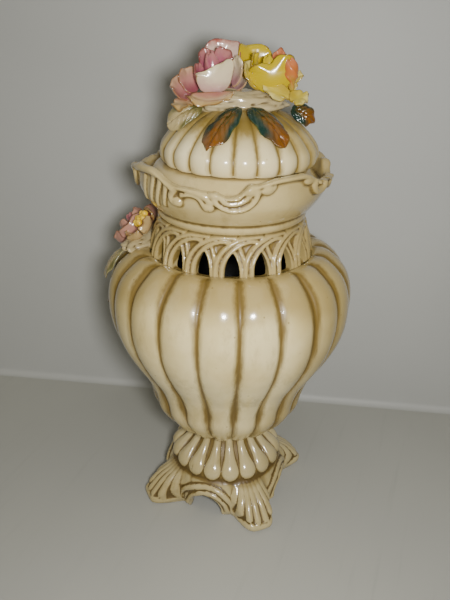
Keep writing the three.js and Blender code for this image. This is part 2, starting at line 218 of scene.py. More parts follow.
# Pooled glaze: a slow drift of tone, and a height for a soft bump
def makePooling():
    group, given, out = shaderGroup("glazePooling", {"Scale": 30.0}, ("Tone", "Roughness", "Height"))
    sockets = {"Vector": given["Place"], "Scale": given["Scale"], "Detail": 4.0}
    slow = wired(group, "ShaderNodeTexNoise", sockets)
    fine = noisy(given["Place"], scale=420, detail=2)
    rough = wired(group, "ShaderNodeMapRange", {"Value": slow, "To Min": 0.1, "To Max": 0.28})
    plug(out["Tone"], stepped(slow, 0.3, 0.7))
    plug(out["Roughness"], rough)
    plug(out["Height"], slow + fine * 0.18)
    return group


brownWash = makeBrownWash()
brownBand = makeBrownBand()
glazeSpecks = makeSpecks()
glazePooling = makePooling()


def grouped(group, **sockets):
    tree = sockets["Place"].tree
    node = placed(tree, "ShaderNodeGroup", sockets, node_tree=group)
    return {socket.name: Wire(tree, socket) for socket in node.outputs}


def newMaterial(name, coat=0.5):
    material = bpy.data.materials.new(name)
    material.use_nodes = True
    tree = material.node_tree
    shader = tree.nodes["Principled BSDF"]
    for label, value in (("Coat Weight", coat), ("Coat Roughness", 0.06), ("IOR", 1.5)):
        plug(shader.inputs[label], value)
    return material, shader, wired(tree, "ShaderNodeTexCoord", output="Object")


def painted(tree, name):
    return wired(tree, "ShaderNodeAttribute", output="Fac", attribute_name=name)


# Gives a glaze its tint and its pooled surface: how rough it is, and how high and strong its bump
def surfaced(shader, tint, rough, height, distance, strength):
    bump = wired(tint.tree, "ShaderNodeBump", {"Height": height, "Distance": distance, "Strength": strength})
    for label, value in (("Base Color", tint), ("Roughness", rough), ("Normal", bump)):
        plug(shader.inputs[label], value)


bodyGlazes = {
    "creamGlaze": {
        "crest": (0.78, 0.655, 0.34), "drift": (0.55, 0.42, 0.16), "umber": (0.16, 0.102, 0.018),
        "brown": (0.13, 0.08, 0.015), "wash": 0.62, "feather": 0.85, "specks": 0.55,
        "bandLow": 0.41, "bandHigh": 0.95, "blotches": 0.38,
    },
    "paleGlaze": {
        "crest": (0.78, 0.68, 0.40), "drift": (0.60, 0.47, 0.20), "umber": (0.23, 0.155, 0.03),
        "brown": (0.15, 0.095, 0.018), "wash": 0.8, "feather": 0.7, "specks": 0.5,
        "bandLow": 0.36, "bandHigh": 1.0, "blotches": 0.32,
    },
    "reliefGlaze": {
        "crest": (0.58, 0.465, 0.22), "drift": (0.44, 0.335, 0.13), "umber": (0.18, 0.12, 0.026),
        "brown": (0.10, 0.06, 0.012), "wash": 1.0, "feather": 0.6, "specks": 0.5,
        "bandLow": 0.2, "bandHigh": 1.0, "blotches": 0.45,
    },
    "footGlaze": {
        "crest": (0.52, 0.43, 0.215), "drift": (0.38, 0.295, 0.12), "umber": (0.155, 0.10, 0.018),
        "brown": (0.10, 0.06, 0.010), "wash": 1.0, "feather": 0.5, "specks": 0.6,
        "bandLow": 0.25, "bandHigh": 1.0, "blotches": 0.45,
    },
    "clayGlaze": {
        "crest": (0.50, 0.415, 0.23), "drift": (0.36, 0.28, 0.13), "umber": (0.18, 0.12, 0.03),
        "brown": (0.08, 0.047, 0.01), "wash": 0.9, "feather": 0.6, "specks": 0.3,
        "bandLow": 0.5, "bandHigh": 1.0, "blotches": 0.3,
    },
}
# Near black: the shade inside the hollow pieces, painted as a colour
insideShadeTone = (0.012, 0.010, 0.007)


def bodyGlaze(name, values):
    material, shader, place = newMaterial(name)
    tree = place.tree
    pool = grouped(glazePooling, Place=place, Scale=26.0)
    marks = ("hollow", "washed", "around", "inside")
    hollow, washed, around, inside = [painted(tree, mark) for mark in marks]
    amount, feather, low, high = [values[name] for name in ("wash", "feather", "bandLow", "bandHigh")]
    wash = grouped(brownWash, Place=place, Hollow=hollow, Amount=amount, Feather=feather)["Mask"]
    band = grouped(brownBand, Place=place, Washed=washed, Low=low, High=high)["Mask"]
    specks = grouped(glazeSpecks, Place=place, Spacing=210.0, Size=0.16)["Mask"]
    warm = tuple(a * 0.45 + b * 0.55 for a, b in zip(values["drift"], values["umber"]))
    blotch = stepped(noisy(place, scale=62, detail=5, rough=0.68, stretch=(1, 1, 0.45)), 0.5, 0.72)
    # Wide hollows and browner zones, with painted shade on the flanks away from the lamp, all in the warm
    # tone; the inner walls are painted near black as painted shade
    wideBrownAndShade = stepped(around, 0.02, 0.8) * 0.85
    tint = layered(mixed(pool["Tone"] * 0.7, values["crest"], values["drift"]), [
        (blotch * values["blotches"], warm), (wideBrownAndShade, warm), (band, values["umber"]), (wash, values["brown"]),
        (inside, insideShadeTone), (specks * values["specks"], values["brown"]),
    ])
    stained = calc("MAXIMUM", wash, band)  # wash dulls the glaze
    surfaced(shader, tint, pool["Roughness"] + stained * 0.3, pool["Height"], 0.0006, 0.35)
    plug(shader.inputs["Coat Weight"], (1.0 - stained * 0.75) * 0.5)
    return material


flowerGlazes = {
    "roseGlaze": {
        "root": (0.14, 0.010, 0.04), "middle": (0.30, 0.065, 0.115), "tip": (0.42, 0.17, 0.15),
        "back": (0.34, 0.12, 0.13), "edge": (0.13, 0.03, 0.015), "edgeFrom": 0.88,
    },
    "pinkGlaze": {
        "root": (0.24, 0.045, 0.075), "middle": (0.44, 0.19, 0.165), "tip": (0.48, 0.30, 0.175),
        "back": (0.42, 0.21, 0.15), "edge": (0.19, 0.08, 0.025), "edgeFrom": 0.88,
    },
    "blushGlaze": {
        "root": (0.34, 0.12, 0.10), "middle": (0.46, 0.31, 0.15), "tip": (0.40, 0.255, 0.085),
        "back": (0.42, 0.29, 0.12), "edge": (0.20, 0.10, 0.02), "edgeFrom": 0.82,
    },
    "whiteGlaze": {
        "root": (0.34, 0.12, 0.17), "middle": (0.62, 0.50, 0.34), "tip": (0.66, 0.57, 0.33),
        "back": (0.62, 0.50, 0.32), "edge": (0.34, 0.21, 0.08), "edgeFrom": 0.92, "backShare": 0.25,
    },
    "redRimGlaze": {
        "root": (0.42, 0.15, 0.17), "middle": (0.64, 0.48, 0.38), "tip": (0.36, 0.085, 0.06),
        "back": (0.33, 0.08, 0.065), "edge": (0.22, 0.025, 0.02), "edgeFrom": 0.82, "tipFrom": 0.74,
    },
    "yellowGlaze": {
        "root": (0.26, 0.15, 0.002), "middle": (0.45, 0.31, 0.0), "tip": (0.50, 0.38, 0.008),
        "back": (0.44, 0.325, 0.0), "edge": (0.17, 0.09, 0.004), "edgeFrom": 0.92,
    },
    "lemonGlaze": {
        "root": (0.42, 0.29, 0.004), "middle": (0.55, 0.43, 0.03), "tip": (0.56, 0.47, 0.14),
        "back": (0.54, 0.43, 0.12), "edge": (0.24, 0.15, 0.012), "edgeFrom": 0.9,
    },
    "orangeGlaze": {
        "root": (0.34, 0.26, 0.03), "middle": (0.46, 0.13, 0.025), "tip": (0.50, 0.17, 0.08),
        "back": (0.44, 0.13, 0.04), "edge": (0.22, 0.05, 0.01), "edgeFrom": 0.9,
    },
}


# A petal's glaze runs from root to tip, with a darker line where it has drained off the rim
def flowerGlaze(name, values):
    material, shader, place = newMaterial(name, coat=0.35)
    tree = place.tree
    pool = grouped(glazePooling, Place=place, Scale=70.0)
    streak = noisy(place, scale=240, detail=4, rough=0.6) - 0.5
    along = painted(tree, "along") + streak * 0.35
    rim = painted(tree, "rim") + streak * 0.16
    wash = grouped(brownWash, Place=place, Hollow=painted(tree, "hollow"), Amount=0.8, Feather=0.3)["Mask"]
    tint = layered(mixed(stepped(along, 0.12, 0.62), values["root"], values["middle"]), [
        (stepped(along, values.get("tipFrom", 0.55), 0.98), values["tip"]),
        (painted(tree, "behind") * values.get("backShare", 0.85), values["back"]),
        (pool["Tone"] * 0.25, values["back"]),
        (stepped(rim, values["edgeFrom"], 1.0) * 0.8, values["edge"]),
        (wash, values["edge"]),
    ])
    surfaced(shader, tint, pool["Roughness"], pool["Height"], 0.0005, 0.3)
    return material


leafGlazes = {
    # each glaze's last tone is a painted sheen along the leaf's rim
    "leafGlaze": {
        "edge": (0.004, 0.026, 0.018), "middle": (0.055, 0.05, 0.008), "vein": (0.17, 0.058, 0.003),
        "glow": (0.10, 0.13, 0.03),
    },
    "oliveLeafGlaze": {
        "edge": (0.11, 0.10, 0.025), "middle": (0.30, 0.235, 0.09), "vein": (0.42, 0.33, 0.155),
        "glow": (0.40, 0.36, 0.20),
    },
}


# A leaf's glaze: dark green along the edges and root, orange-brown streaks from the middle to the tip, and a
# paler painted sheen along the very rim
def leafGlaze(name, values):
    material, shader, place = newMaterial(name, coat=0.7)
    tree = place.tree
    pool = grouped(glazePooling, Place=place, Scale=90.0)
    along, across = painted(tree, "along"), painted(tree, "across")
    streak = noisy(joined(across * 5.5, along, 0.3), scale=3.4, detail=4, rough=0.65, stretch=(1, 0.5, 1))
    sway = streak - 0.5
    loose = noisy(place, scale=120, detail=3, rough=0.6) - 0.5
    inner = sway * 2.6 + 0.45 + (along - 0.45) * 0.9
    rim = calc("ABSOLUTE", across + 0.12) + sway * 0.5
    toTip = 1.0 - stepped(along, 0.6, 1.0) * 0.75
    atRoot = 1.0 - stepped(along + loose, 0.1, 0.42)
    green = calc("MAXIMUM", stepped(rim, 0.38, 0.72) * toTip, atRoot)
    # a painted sheen, paler, along the very rim
    glow = stepped(painted(tree, "rim") + loose * 0.35, 0.93, 1.08)
    tint = mixed(stepped(inner, 0.25, 0.75), values["middle"], values["vein"])
    tint = layered(tint, [(green, values["edge"]), (glow * 0.6, values["glow"])])
    surfaced(shader, tint, pool["Roughness"], pool["Height"] + streak * 1.2, 0.0006, 0.45)
    return material


stamenGlazes = {
    "antherGlaze": {"tone": (0.78, 0.52, 0.03), "pooled": (0.62, 0.36, 0.02), "scale": 200.0},
    "maroonGlaze": {"tone": (0.10, 0.018, 0.012), "pooled": (0.22, 0.05, 0.025), "scale": 150.0},
}


def stamenGlaze(name, values):
    material, shader, place = newMaterial(name)
    pool = grouped(glazePooling, Place=place, Scale=values["scale"])
    tint = mixed(pool["Tone"], values["tone"], values["pooled"])
    surfaced(shader, tint, pool["Roughness"], pool["Height"], 0.0004, 0.3)
    return material


glaze = {}
makers = {bodyGlaze: bodyGlazes, flowerGlaze: flowerGlazes, leafGlaze: leafGlazes, stamenGlaze: stamenGlazes}
for maker, table in makers.items():
    glaze.update({name: maker(name, values) for name, values in table.items()})
print("materials made:", len(glaze))


# Shapes are worked out in millimetres
def roundedLine(points, rounds=3):
    line = np.array(points, float)
    for _ in range(rounds):
        near = 0.75 * line[:-1] + 0.25 * line[1:]
        far = 0.25 * line[:-1] + 0.75 * line[1:]
        middle = np.stack([near, far], axis=1).reshape(-1, line.shape[1])
        line = np.vstack([line[:1], middle, line[-1:]])
    return line


def evenly(line, count, axes=2):
    travelled = np.r_[0, np.cumsum(np.linalg.norm(np.diff(line[:, :axes], axis=0), axis=1))]
    stops = np.linspace(0, travelled[-1], count)
    return np.stack([np.interp(stops, travelled, column) for column in line.T], axis=1)


def smoothLine(points, count):
    p = np.array(points, float)
    p = np.vstack([2 * p[0] - p[1], p, 2 * p[-1] - p[-2]])
    t = np.linspace(0, 1, 9)[:-1, None]
    runs = []
    for a, b, c, d in zip(p, p[1:], p[2:], p[3:]):
        bend = (2 * a - 5 * b + 4 * c - d) * t ** 2 + (3 * b - a - 3 * c + d) * t ** 3
        runs.append(0.5 * (2 * b + (c - a) * t + bend))
    return evenly(np.vstack(runs + [p[-2:-1]]), count, p.shape[1])


def smoothstep(value, low, high):
    t = np.clip((np.asarray(value, float) - low) / (high - low), 0, 1)
    return t * t * (3 - 2 * t)


# A raised line over a flat picture of the surface: 1 along it, falling round to 0 at half its width
def raised(places, path, widths, count=20):
    line = smoothLine(path, count)
    half = np.interp(np.linspace(0, 1, count), np.linspace(0, 1, len(widths)), widths) / 2
    result = np.zeros(len(places))
    low, high = line.min(0) - half.max(), line.max(0) + half.max()
    near = np.nonzero(np.all((places > low) & (places < high), axis=1))[0]
    if len(near) == 0:
        return result
    spots = places[near]
    best = np.zeros(len(near))
    for a, b, r0, r1 in zip(line, line[1:], half, half[1:]):
        run = b - a
        t = np.clip((spots - a) @ run / max(run @ run, 1e-9), 0, 1)
        away = np.linalg.norm(spots - a - t[:, None] * run, axis=1)
        best = np.maximum(best, 1 - (away / (r0 + (r1 - r0) * t)) ** 2)
    result[near] = np.sqrt(best)
    return result


# Normals of a grid whose last row is followed by its first
def gridNormals(grid):
    padded = np.concatenate([grid[-1:], grid, grid[:1]], axis=0)
    normal = np.cross((padded[2:] - padded[:-2]) / 2, np.gradient(grid, axis=1))
    return normal / np.maximum(np.linalg.norm(normal, axis=2, keepdims=True), 1e-9)


def gridFaces(rows, columns, wrap=False):
    i, j = np.meshgrid(np.arange(rows if wrap else rows - 1), np.arange(columns - 1), indexing="ij")
    here, following = i * columns + j, (i + 1) % rows * columns + j
    return np.stack([here, following, following + 1, here + 1], axis=-1).reshape(-1, 4)


# Turns all faces of a closed mesh outwards, after merging points nearer than the distance, if one is given
def facedOut(mesh, merged=None):
    bm = bmesh.new()
    bm.from_mesh(mesh)
    if merged:
        bmesh.ops.remove_doubles(bm, verts=bm.verts, dist=merged)
    bmesh.ops.recalc_face_normals(bm, faces=bm.faces)
    bm.to_mesh(mesh)
    bm.free()


def meshOf(name, points, faces, marks=None):
    mesh = bpy.data.meshes.new(name)
    mesh.from_pydata((np.asarray(points) * 0.001).tolist(), [], faces.tolist())
    for mark, values in (marks or {}).items():
        layer = mesh.attributes.new(mark, "FLOAT", "POINT")
        layer.data.foreach_set("value", np.asarray(values, np.float32))
    facedOut(mesh, 1e-6)
    mesh.shade_smooth()
    return mesh


def gridPiece(name, points, rows, columns, marks=None):
    return objectOf(name, meshOf(name, points, gridFaces(rows, columns, True), marks))


def objectOf(name, mesh):
    piece = bpy.data.objects.new(name, mesh)
    bpy.context.scene.collection.objects.link(piece)
    return piece


# Runs an object's modifiers and puts the plain result back on it
def settled(piece):
    graph = bpy.context.evaluated_depsgraph_get()
    mesh = bpy.data.meshes.new_from_object(piece.evaluated_get(graph))
    piece.modifiers.clear()
    old = piece.data
    piece.data = mesh
    bpy.data.meshes.remove(old)
    mesh.name = piece.name
    return piece


def vertexArray(mesh, what="co"):
    values = np.zeros(len(mesh.vertices) * 3, np.float32)
    mesh.vertices.foreach_get(what, values)
    return values.reshape(-1, 3).astype(float)


# Marks how deep each point lies below its surroundings, near it and further round it: full at these depths,
# against a surface smoothed so many times
def markHollows(piece, depth=0.35, rounds=10, wideDepth=0.8, wideRounds=60):
    mesh = piece.data
    points = vertexArray(mesh) * 1000
    normals = vertexArray(mesh, "normal")
    ends = np.zeros(len(mesh.edges) * 2, np.int32)
    mesh.edges.foreach_get("vertices", ends)
    a, b = ends.reshape(-1, 2).T
    count = np.bincount(np.r_[a, b], minlength=len(points))
    smooth = points.copy()
    marks = {}
    for turn in range(wideRounds):
        total = np.stack([
            np.bincount(np.r_[a, b], np.r_[axis[b], axis[a]], minlength=len(points)) for axis in smooth.T
        ], axis=1)
        smooth = 0.5 * smooth + 0.5 * total / count[:, None]
        if turn == rounds - 1:
            marks["hollow"] = np.einsum("ij,ij->i", smooth - points, normals) / depth
    marks["around"] = np.einsum("ij,ij->i", smooth - points, normals) / wideDepth
    for mark, values in marks.items():
        marked(piece, mark, values)


def marked(piece, mark, values):
    layer = piece.data.attributes.get(mark) or piece.data.attributes.new(mark, "FLOAT", "POINT")
    layer.data.foreach_set("value", np.clip(values, 0, 1).astype(np.float32))


# Raises the wide brown mark: browner glaze, and painted shade on the flanks away from the side that faces the
# lamp
def addBrownAndShade(piece, share):
    marked(piece, "around", np.maximum(markOf(piece, "around"), share))


def markOf(piece, mark):
    values = np.zeros(len(piece.data.vertices), np.float32)
    piece.data.attributes[mark].data.foreach_get("value", values)
    return values


# Azimuth in degrees, radius and height in millimetres of every point
def turnedPlaces(piece):
    x, y, z = vertexArray(piece.data).T * 1000
    return np.degrees(np.arctan2(y, x)), np.hypot(x, y), z


# How many degrees each point lies round from the side that faces the lamp; painted shade darkens the glaze
# away from it
def roundFromLit(azimuth, side):
    return np.abs((azimuth - side + 180) % 360 - 180)


# How far each point's normal leans away from the vertical axis
def outwardness(piece):
    x, y = vertexArray(piece.data)[:, :2].T
    normals = vertexArray(piece.data, "normal")
    return (normals[:, 0] * x + normals[:, 1] * y) / np.maximum(np.hypot(x, y), 1e-6)


# How high the highest of some raised lines stands at each place
def standing(places, lines):
    result = np.zeros(len(places))
    for path, widths, tall in lines:
        result = np.maximum(result, tall * raised(places, path, widths))
    return result


# Brown gathers beside a raised line and thins out away from it
def besideLines(places, lines, spread):
    on = standing(places, [(path, widths, 1) for path, widths, tall in lines])
    beside = standing(places, [(path, [w + spread for w in widths], 1) for path, widths, tall in lines])
    return smoothstep(beside, 0.05, 0.85) * (1 - smoothstep(on, 0.1, 0.7))


def finished(piece, body, material, slotName, *nodes):
    if material is not None:
        piece.data.materials.clear()
        piece.data.materials.append(glaze[material])
    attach(piece, body)
    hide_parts(*nodes)
    return piece


def softened(piece, rounds):
    smooth = piece.modifiers.new("glazeFlow", "SMOOTH")
    smooth.factor = 0.5
    smooth.iterations = rounds
    return piece


def remeshed(piece, voxel):
    modifier = piece.modifiers.new("soften", "REMESH")
    modifier.mode = "VOXEL"
    modifier.voxel_size = voxel * 0.001
    modifier.use_smooth_shade = True
    return settled(softened(piece, 2))


# The bowl, the lid and its ring: a profile turned round the axis, with lobes and grooves
def makeLobedTurning():
    tree, given, out = nodeGroup("lobedTurning", "GeometryNodeTree", {
        "Geometry": "Geometry", "Lobes": 20.0, "Groove At": 0.0, "Roundness": 0.7, "Unevenness": 0.0003,
        "Seed": 0.0, "Steps Round": 400, "Steps Along": 160, "Wash Width": 0.008, "Material": "Material",
    }, {"Geometry": "Geometry"})
    curve = wired(tree, "GeometryNodeMeshToCurve", {0: given["Geometry"]})
    columns, rows = given["Steps Round"] + 1.0, given["Steps Along"]
    sockets = {"Size X": 1.0, "Size Y": 1.0, "Vertices X": columns, "Vertices Y": rows}
    shape = wired(tree, "GeometryNodeMeshGrid", sockets)
    spot = parted(wired(tree, "GeometryNodeInputPosition"))
    turn, share = spot[0] + 0.5, spot[1] + 0.5
    stored = wired(tree, "GeometryNodeInputNamedAttribute", {"Name": "depth"}, data_type="FLOAT")
    sample = placed(
        tree, "GeometryNodeSampleCurve", {"Curves": curve, "Factor": share}, data_type="FLOAT", mode="FACTOR",
    )
    plug(sample.inputs["Value"], stored)
    depth = Wire(tree, sample.outputs[0])
    at = parted(Wire(tree, sample.outputs["Position"]))
    way = parted(Wire(tree, sample.outputs["Tangent"]))
    # grooves between the lobes, and an uneven wall that is even at the poles
    lobes = turn * given["Lobes"]
    swell = calc("ABSOLUTE", calc("SINE", calc("FRACT", lobes) * math.pi))
    groove = 1.0 - calc("POWER", swell, given["Roundness"])
    angle = turn * (2 * math.pi) + given["Groove At"] * (math.pi / 180)
    cosine, sine = calc("COSINE", angle), calc("SINE", angle)
    wobble = wired(
        tree, "ShaderNodeTexNoise",
        {"Vector": joined(cosine, sine, at[2] * 16.0), "W": given["Seed"], "Scale": 2.4, "Detail": 2.0},
        noise_dimensions="4D",
    )
    fromPole = calc("MULTIPLY", at[0], 125.0, clamp=True)
    deep = depth * groove + (wobble - 0.5) * given["Unevenness"] * fromPole
    radius = (at[0] - deep * way[2]) * calc("GREATER_THAN", at[0], 1e-6)
    final = joined(radius * cosine, radius * sine, at[2] + deep * way[0])
    # how near each point lies to the bottom of a groove
    away = calc("PINGPONG", lobes, 0.5) * (at[0] * (2 * math.pi) / given["Lobes"])
    near = calc("SUBTRACT", 1.0, away / given["Wash Width"], clamp=True)
    near = near * calc("MULTIPLY", depth, 600.0, clamp=True)
    shape = wired(
        tree, "GeometryNodeStoreNamedAttribute", {"Geometry": shape, "Name": "washed", "Value": near},
        data_type="FLOAT", domain="POINT",
    )
    shape = wired(tree, "GeometryNodeSetPosition", {"Geometry": shape, "Position": final})
    shape = wired(tree, "GeometryNodeMergeByDistance", {"Geometry": shape, "Distance": 1e-6})
    shape = wired(tree, "GeometryNodeSetShadeSmooth", {"Geometry": shape})
    shape = wired(tree, "GeometryNodeRealizeInstances", {"Geometry": shape})
    shape = wired(tree, "GeometryNodeSetMaterial", {"Geometry": shape, "Material": given["Material"]})
    plug(out[0], shape)
    return tree


lobedTurning = makeLobedTurning()


def setInputs(modifier, tree, values):
    for item in tree.interface.items_tree:
        if item.item_type == "SOCKET" and item.in_out == "INPUT" and item.name in values:
            modifier[item.identifier] = values[item.name]


def turned(name, profile, material, values):
    line = evenly(roundedLine(profile), 240)
    mesh = bpy.data.meshes.new(name)
    points = np.stack([line[:, 0], 0 * line[:, 0], line[:, 1]], axis=1) * 0.001
    edges = [(i, i + 1) for i in range(len(points) - 1)]
    mesh.from_pydata(points.tolist(), edges, [])
    depth = mesh.attributes.new("depth", "FLOAT", "POINT")
    depth.data.foreach_set("value", (line[:, 2] * 0.001).astype(np.float32))
    piece = objectOf(name, mesh)
    modifier = piece.modifiers.new("turning", "NODES")
    modifier.node_group = lobedTurning
    setInputs(modifier, lobedTurning, {**values, "Material": glaze[material]})
    settled(piece)
    facedOut(piece.data)
    return piece


# "turning" sets the node group's inputs and "depth" is the grooves'. "hollows" is what markHollows takes,
# here and for the other pieces. "waist" is the height where the bowl bends inwards
bowl = {
    "turning": {
        "Lobes": 20.0, "Groove At": 24.3, "Roundness": 0.62, "Unevenness": 0.0006, "Seed": 3.0,
        "Steps Round": 400, "Steps Along": 230, "Wash Width": 0.0085,
    },
    # the next line also gives the azimuth of the side that faces the lamp, and how strong the painted shade
    # is on the flanks away from it
    "depth": 3.0, "litSide": 12.0, "brownAndShade": 0.7, "waist": 99, "waistSpread": 7, "innerFloor": 64,
    "mouth": 196, "hollows": (0.28, 6, 0.9, 70),
    "outside": [
        (26, 58), (30, 60.2), (35, 62.6), (40, 65.7), (44.3, 69.6), (48.6, 74.5), (52.6, 80), (55.4, 86),
        (56.2, 92), (58.4, 100), (62.5, 110), (69, 120), (74.7, 130), (79.5, 140), (83.2, 153), (84.2, 168),
        (82.4, 180), (77.7, 190), (68, 198.6), (63, 200.4), (57.5, 200.4),
    ],
    "inside": [
        (54.4, 199.6), (54.4, 196.3), (48, 196.3), (48, 193), (62, 192.5), (72.5, 184), (77, 172), (77, 158),
        (71.5, 138), (62, 120), (55.8, 111), (50.8, 101), (48.6, 93), (46.3, 85.5), (41, 78), (33, 71.5),
        (22, 67), (0, 66),
    ],
}


def makeBowl(values):
    profile = [(0, 58, 0), (20, 58, 0)]
    for r, z in values["outside"]:
        share = smoothstep(z, 46, 70) * (0.5 if z > 200 else 1)
        profile.append((r, z, values["depth"] * float(share)))
    profile += [(r, z, 0) for r, z in values["inside"]]
    piece = turned("melonBowl", profile, "creamGlaze", values["turning"])
    markHollows(piece, *values["hollows"])
    azimuth, _, height = turnedPlaces(piece)
    fromLitSide = roundFromLit(azimuth, values["litSide"])
    atWaist = np.exp(-((height - values["waist"]) / values["waistSpread"]) ** 2)
    wide = 0.9 + 0.22 * atWaist + 0.16 * smoothstep(height, 160, values["mouth"])
    # the brown bands are widened on the flanks away from the lamp, as painted shade
    wide = wide + 0.12 * smoothstep(fromLitSide, 20, 60)
    marked(piece, "washed", markOf(piece, "washed") * wide)
    # the inner wall is painted near black, as painted shade
    facesIn = outwardness(piece) < 0.02
    marked(piece, "inside", facesIn * (height > values["innerFloor"]) * (height < values["mouth"]))
    # glaze browner over the shoulder and towards the foot of the bowl, and painted shade on its two flanks,
    # away from the side that faces the lamp
    brownAndShade = 0.8 * smoothstep(height, 170, 199) + 0.4 * (1 - smoothstep(height, 70, 125))
    brownAndShade += values["brownAndShade"] * smoothstep(fromLitSide, 20, 70)
    addBrownAndShade(piece, brownAndShade)
    finished(piece, "vase", "creamGlaze", "cream_glaze", "melon_bowl")


makeBowl(bowl)
print("bowl made")

lid = {
    "turn": 109.6, "shift": 3.7, "grooveAt": 15.6,
    "dome": {
        "Lobes": 22.0, "Roundness": 0.62, "Unevenness": 0.0005, "Seed": 8.0,
        "Steps Round": 396, "Steps Along": 150, "Wash Width": 0.0052,
    },
    "locatingRing": {"Lobes": 1.0, "Unevenness": 0.0004, "Seed": 5.0, "Steps Round": 160, "Steps Along": 60},
    "depth": 2.2, "rimTop": 258, "litSide": 10.0, "hollows": (0.22, 6, 0.7, 60),
    "outside": [
        (46.5, 257.3), (48.7, 258.2), (50.2, 261.5), (50.5, 265), (50, 268.6), (47.6, 272.4), (42.6, 278.3),
        (33.3, 286), (20, 291), (0, 294),
    ],
    "inside": [(0, 280), (12, 279), (22, 272), (26, 264), (26, 257.3)],
    "ring": [
        (29.2, 257), (27.5, 257), (27.5, 249), (28.5, 248), (30, 248), (31, 249), (31, 257), (29.2, 257),
    ],
}

lidAngle = math.radians(lid["turn"])
lidPlace = Matrix.Translation((
    0.001 * lid["shift"] * math.cos(lidAngle), 0.001 * lid["shift"] * math.sin(lidAngle), 0,
)) @ Matrix.Rotation(lidAngle, 4, "Z")


def makeLid(values):
    profile = [(r, z, 0) for r, z in values["inside"]]
    for r, z in values["outside"]:
        share = float(smoothstep(r, 14, 40)) * (0 if z < values["rimTop"] else 1)
        profile.append((r, z, values["depth"] * share))
    dome = {**values["dome"], "Groove At": values["grooveAt"] - values["turn"]}
    piece = turned("lidDome", profile, "paleGlaze", dome)
    piece.data.transform(lidPlace)
    markHollows(piece, *values["hollows"])
    azimuth, _, height = turnedPlaces(piece)
    washed = markOf(piece, "washed") * (0.92 + 0.2 * smoothstep(height, 272, 288))
    marked(piece, "washed", np.maximum(washed, smoothstep(height, 271, 286)))
    # browner glaze over the top of the lid, and painted shade on the flanks away from the side that faces the
    # lamp
    fromLitSide = roundFromLit(azimuth, values["litSide"])
    brownAndShade = 0.6 * smoothstep(height, 266, 284) + 0.7 * smoothstep(fromLitSide, 28, 80)
    addBrownAndShade(piece, brownAndShade)
    finished(piece, "lid", "paleGlaze", "pale_glaze", "lid_dome")
    ringProfile = [(r, z, 0) for r, z in values["ring"]]
    ring = turned("lidLocatingRing", ringProfile, "paleGlaze", values["locatingRing"])
    ring.data.transform(lidPlace)
    markHollows(ring)
    finished(ring, "lid", "paleGlaze", "pale_glaze", "lid_locating_ring")


makeLid(lid)
print("lid made")


# A ring or disc turned from a profile that changes with the azimuth, as a grid of points
def turnedGrid(profileAt, count, along):
    azimuths = np.arange(count) * 360 / count
    grid = np.array([evenly(roundedLine(profileAt(a), 2), along) for a in azimuths])
    angle = np.radians(azimuths)[:, None]
    points = np.stack([grid[:, :, 0] * np.cos(angle), grid[:, :, 0] * np.sin(angle), grid[:, :, 1]], axis=2)
    return points, np.repeat(azimuths, along), grid[:, :, 2].ravel()


# The foot's lines are on its side seen square on: across and up from the table, widths, height. The fingers
# are on the toe: azimuth from the toe's middle, and how far out and down from the top of the skirt, widths
foot = {
    "top": 57.7, "sideRadius": 46, "toeRadius": 65.0, "archHeight": 17, "archHalfAngle": 17, "skirt": 41.5,
    "tongues": 18, "tongueAt": 5, "tongueHeight": 2.7, "tongueWidths": [5.0, 5.9, 8.4, 13.4],
    "tonguePath": [(0, -3), (0, 7), (0, 16), (0, 25.4)], "rollBrown": 3.2,
    "stepsRound": 640, "stepsAlong": 140, "hollows": (0.3, 8, 1.0, 60),
    "sideRolls": [
        ([(-20, 12), (-15.6, 18), (-5, 23.2), (5.4, 24.2), (13.6, 20.6), (19, 14), (21.4, 7)],
         [3, 3.8, 3.8, 3.8, 3.4], 1.9),
        ([(-14, 7), (-10.3, 13.8), (-1.6, 19.8), (7.8, 19), (14.6, 13.2), (17.8, 4)],
         [2.8, 3.4, 3.4, 3.4, 3.2], 1.5),
        ([(-20.5, 12.6), (-22.3, 8), (-20.3, 3.6), (-16.2, 2.6), (-13.8, 5.6)],
         [3.6, 4.2, 4.4, 4.4, 3.8], 2.2),
        ([(17.2, 3.4), (21.4, 4.4)], [4.4, 4.6], 1.7),
    ],
    "fingers": [
        ([(-15, 44), (-17, 51), (-19.5, 58)], [3.6, 5.2, 5.4]),
        ([(-9.5, 43), (-11.5, 53), (-13.6, 62.5)], [3.4, 5.4, 6]),
        ([(-5, 43), (-6.4, 55), (-7.6, 67)], [3.4, 5.2, 6]),
        ([(-1.2, 43), (-1.6, 56), (-2, 69.5)], [3.2, 5, 5.8]),
        ([(2.8, 43), (3.4, 56), (3.8, 70)], [3.2, 5, 5.8]),
        ([(7, 43), (8.6, 55), (9.8, 67)], [3.4, 5.4, 6]),
        ([(12, 43.5), (14.4, 53), (16.4, 61)], [3.6, 5.4, 6]),
    ],
    "border": [
        (-20.5, 55), (-18.5, 62.5), (-13, 69.5), (-6.5, 73.8), (0, 75.4), (6.5, 74.4), (13, 70), (18.5, 62.5),
        (20.5, 55),
    ],
    "borderWidths": [3.2, 4.6, 5.6, 5.8, 5.6, 4.6, 3.2], "borderHeight": 2.2,
}


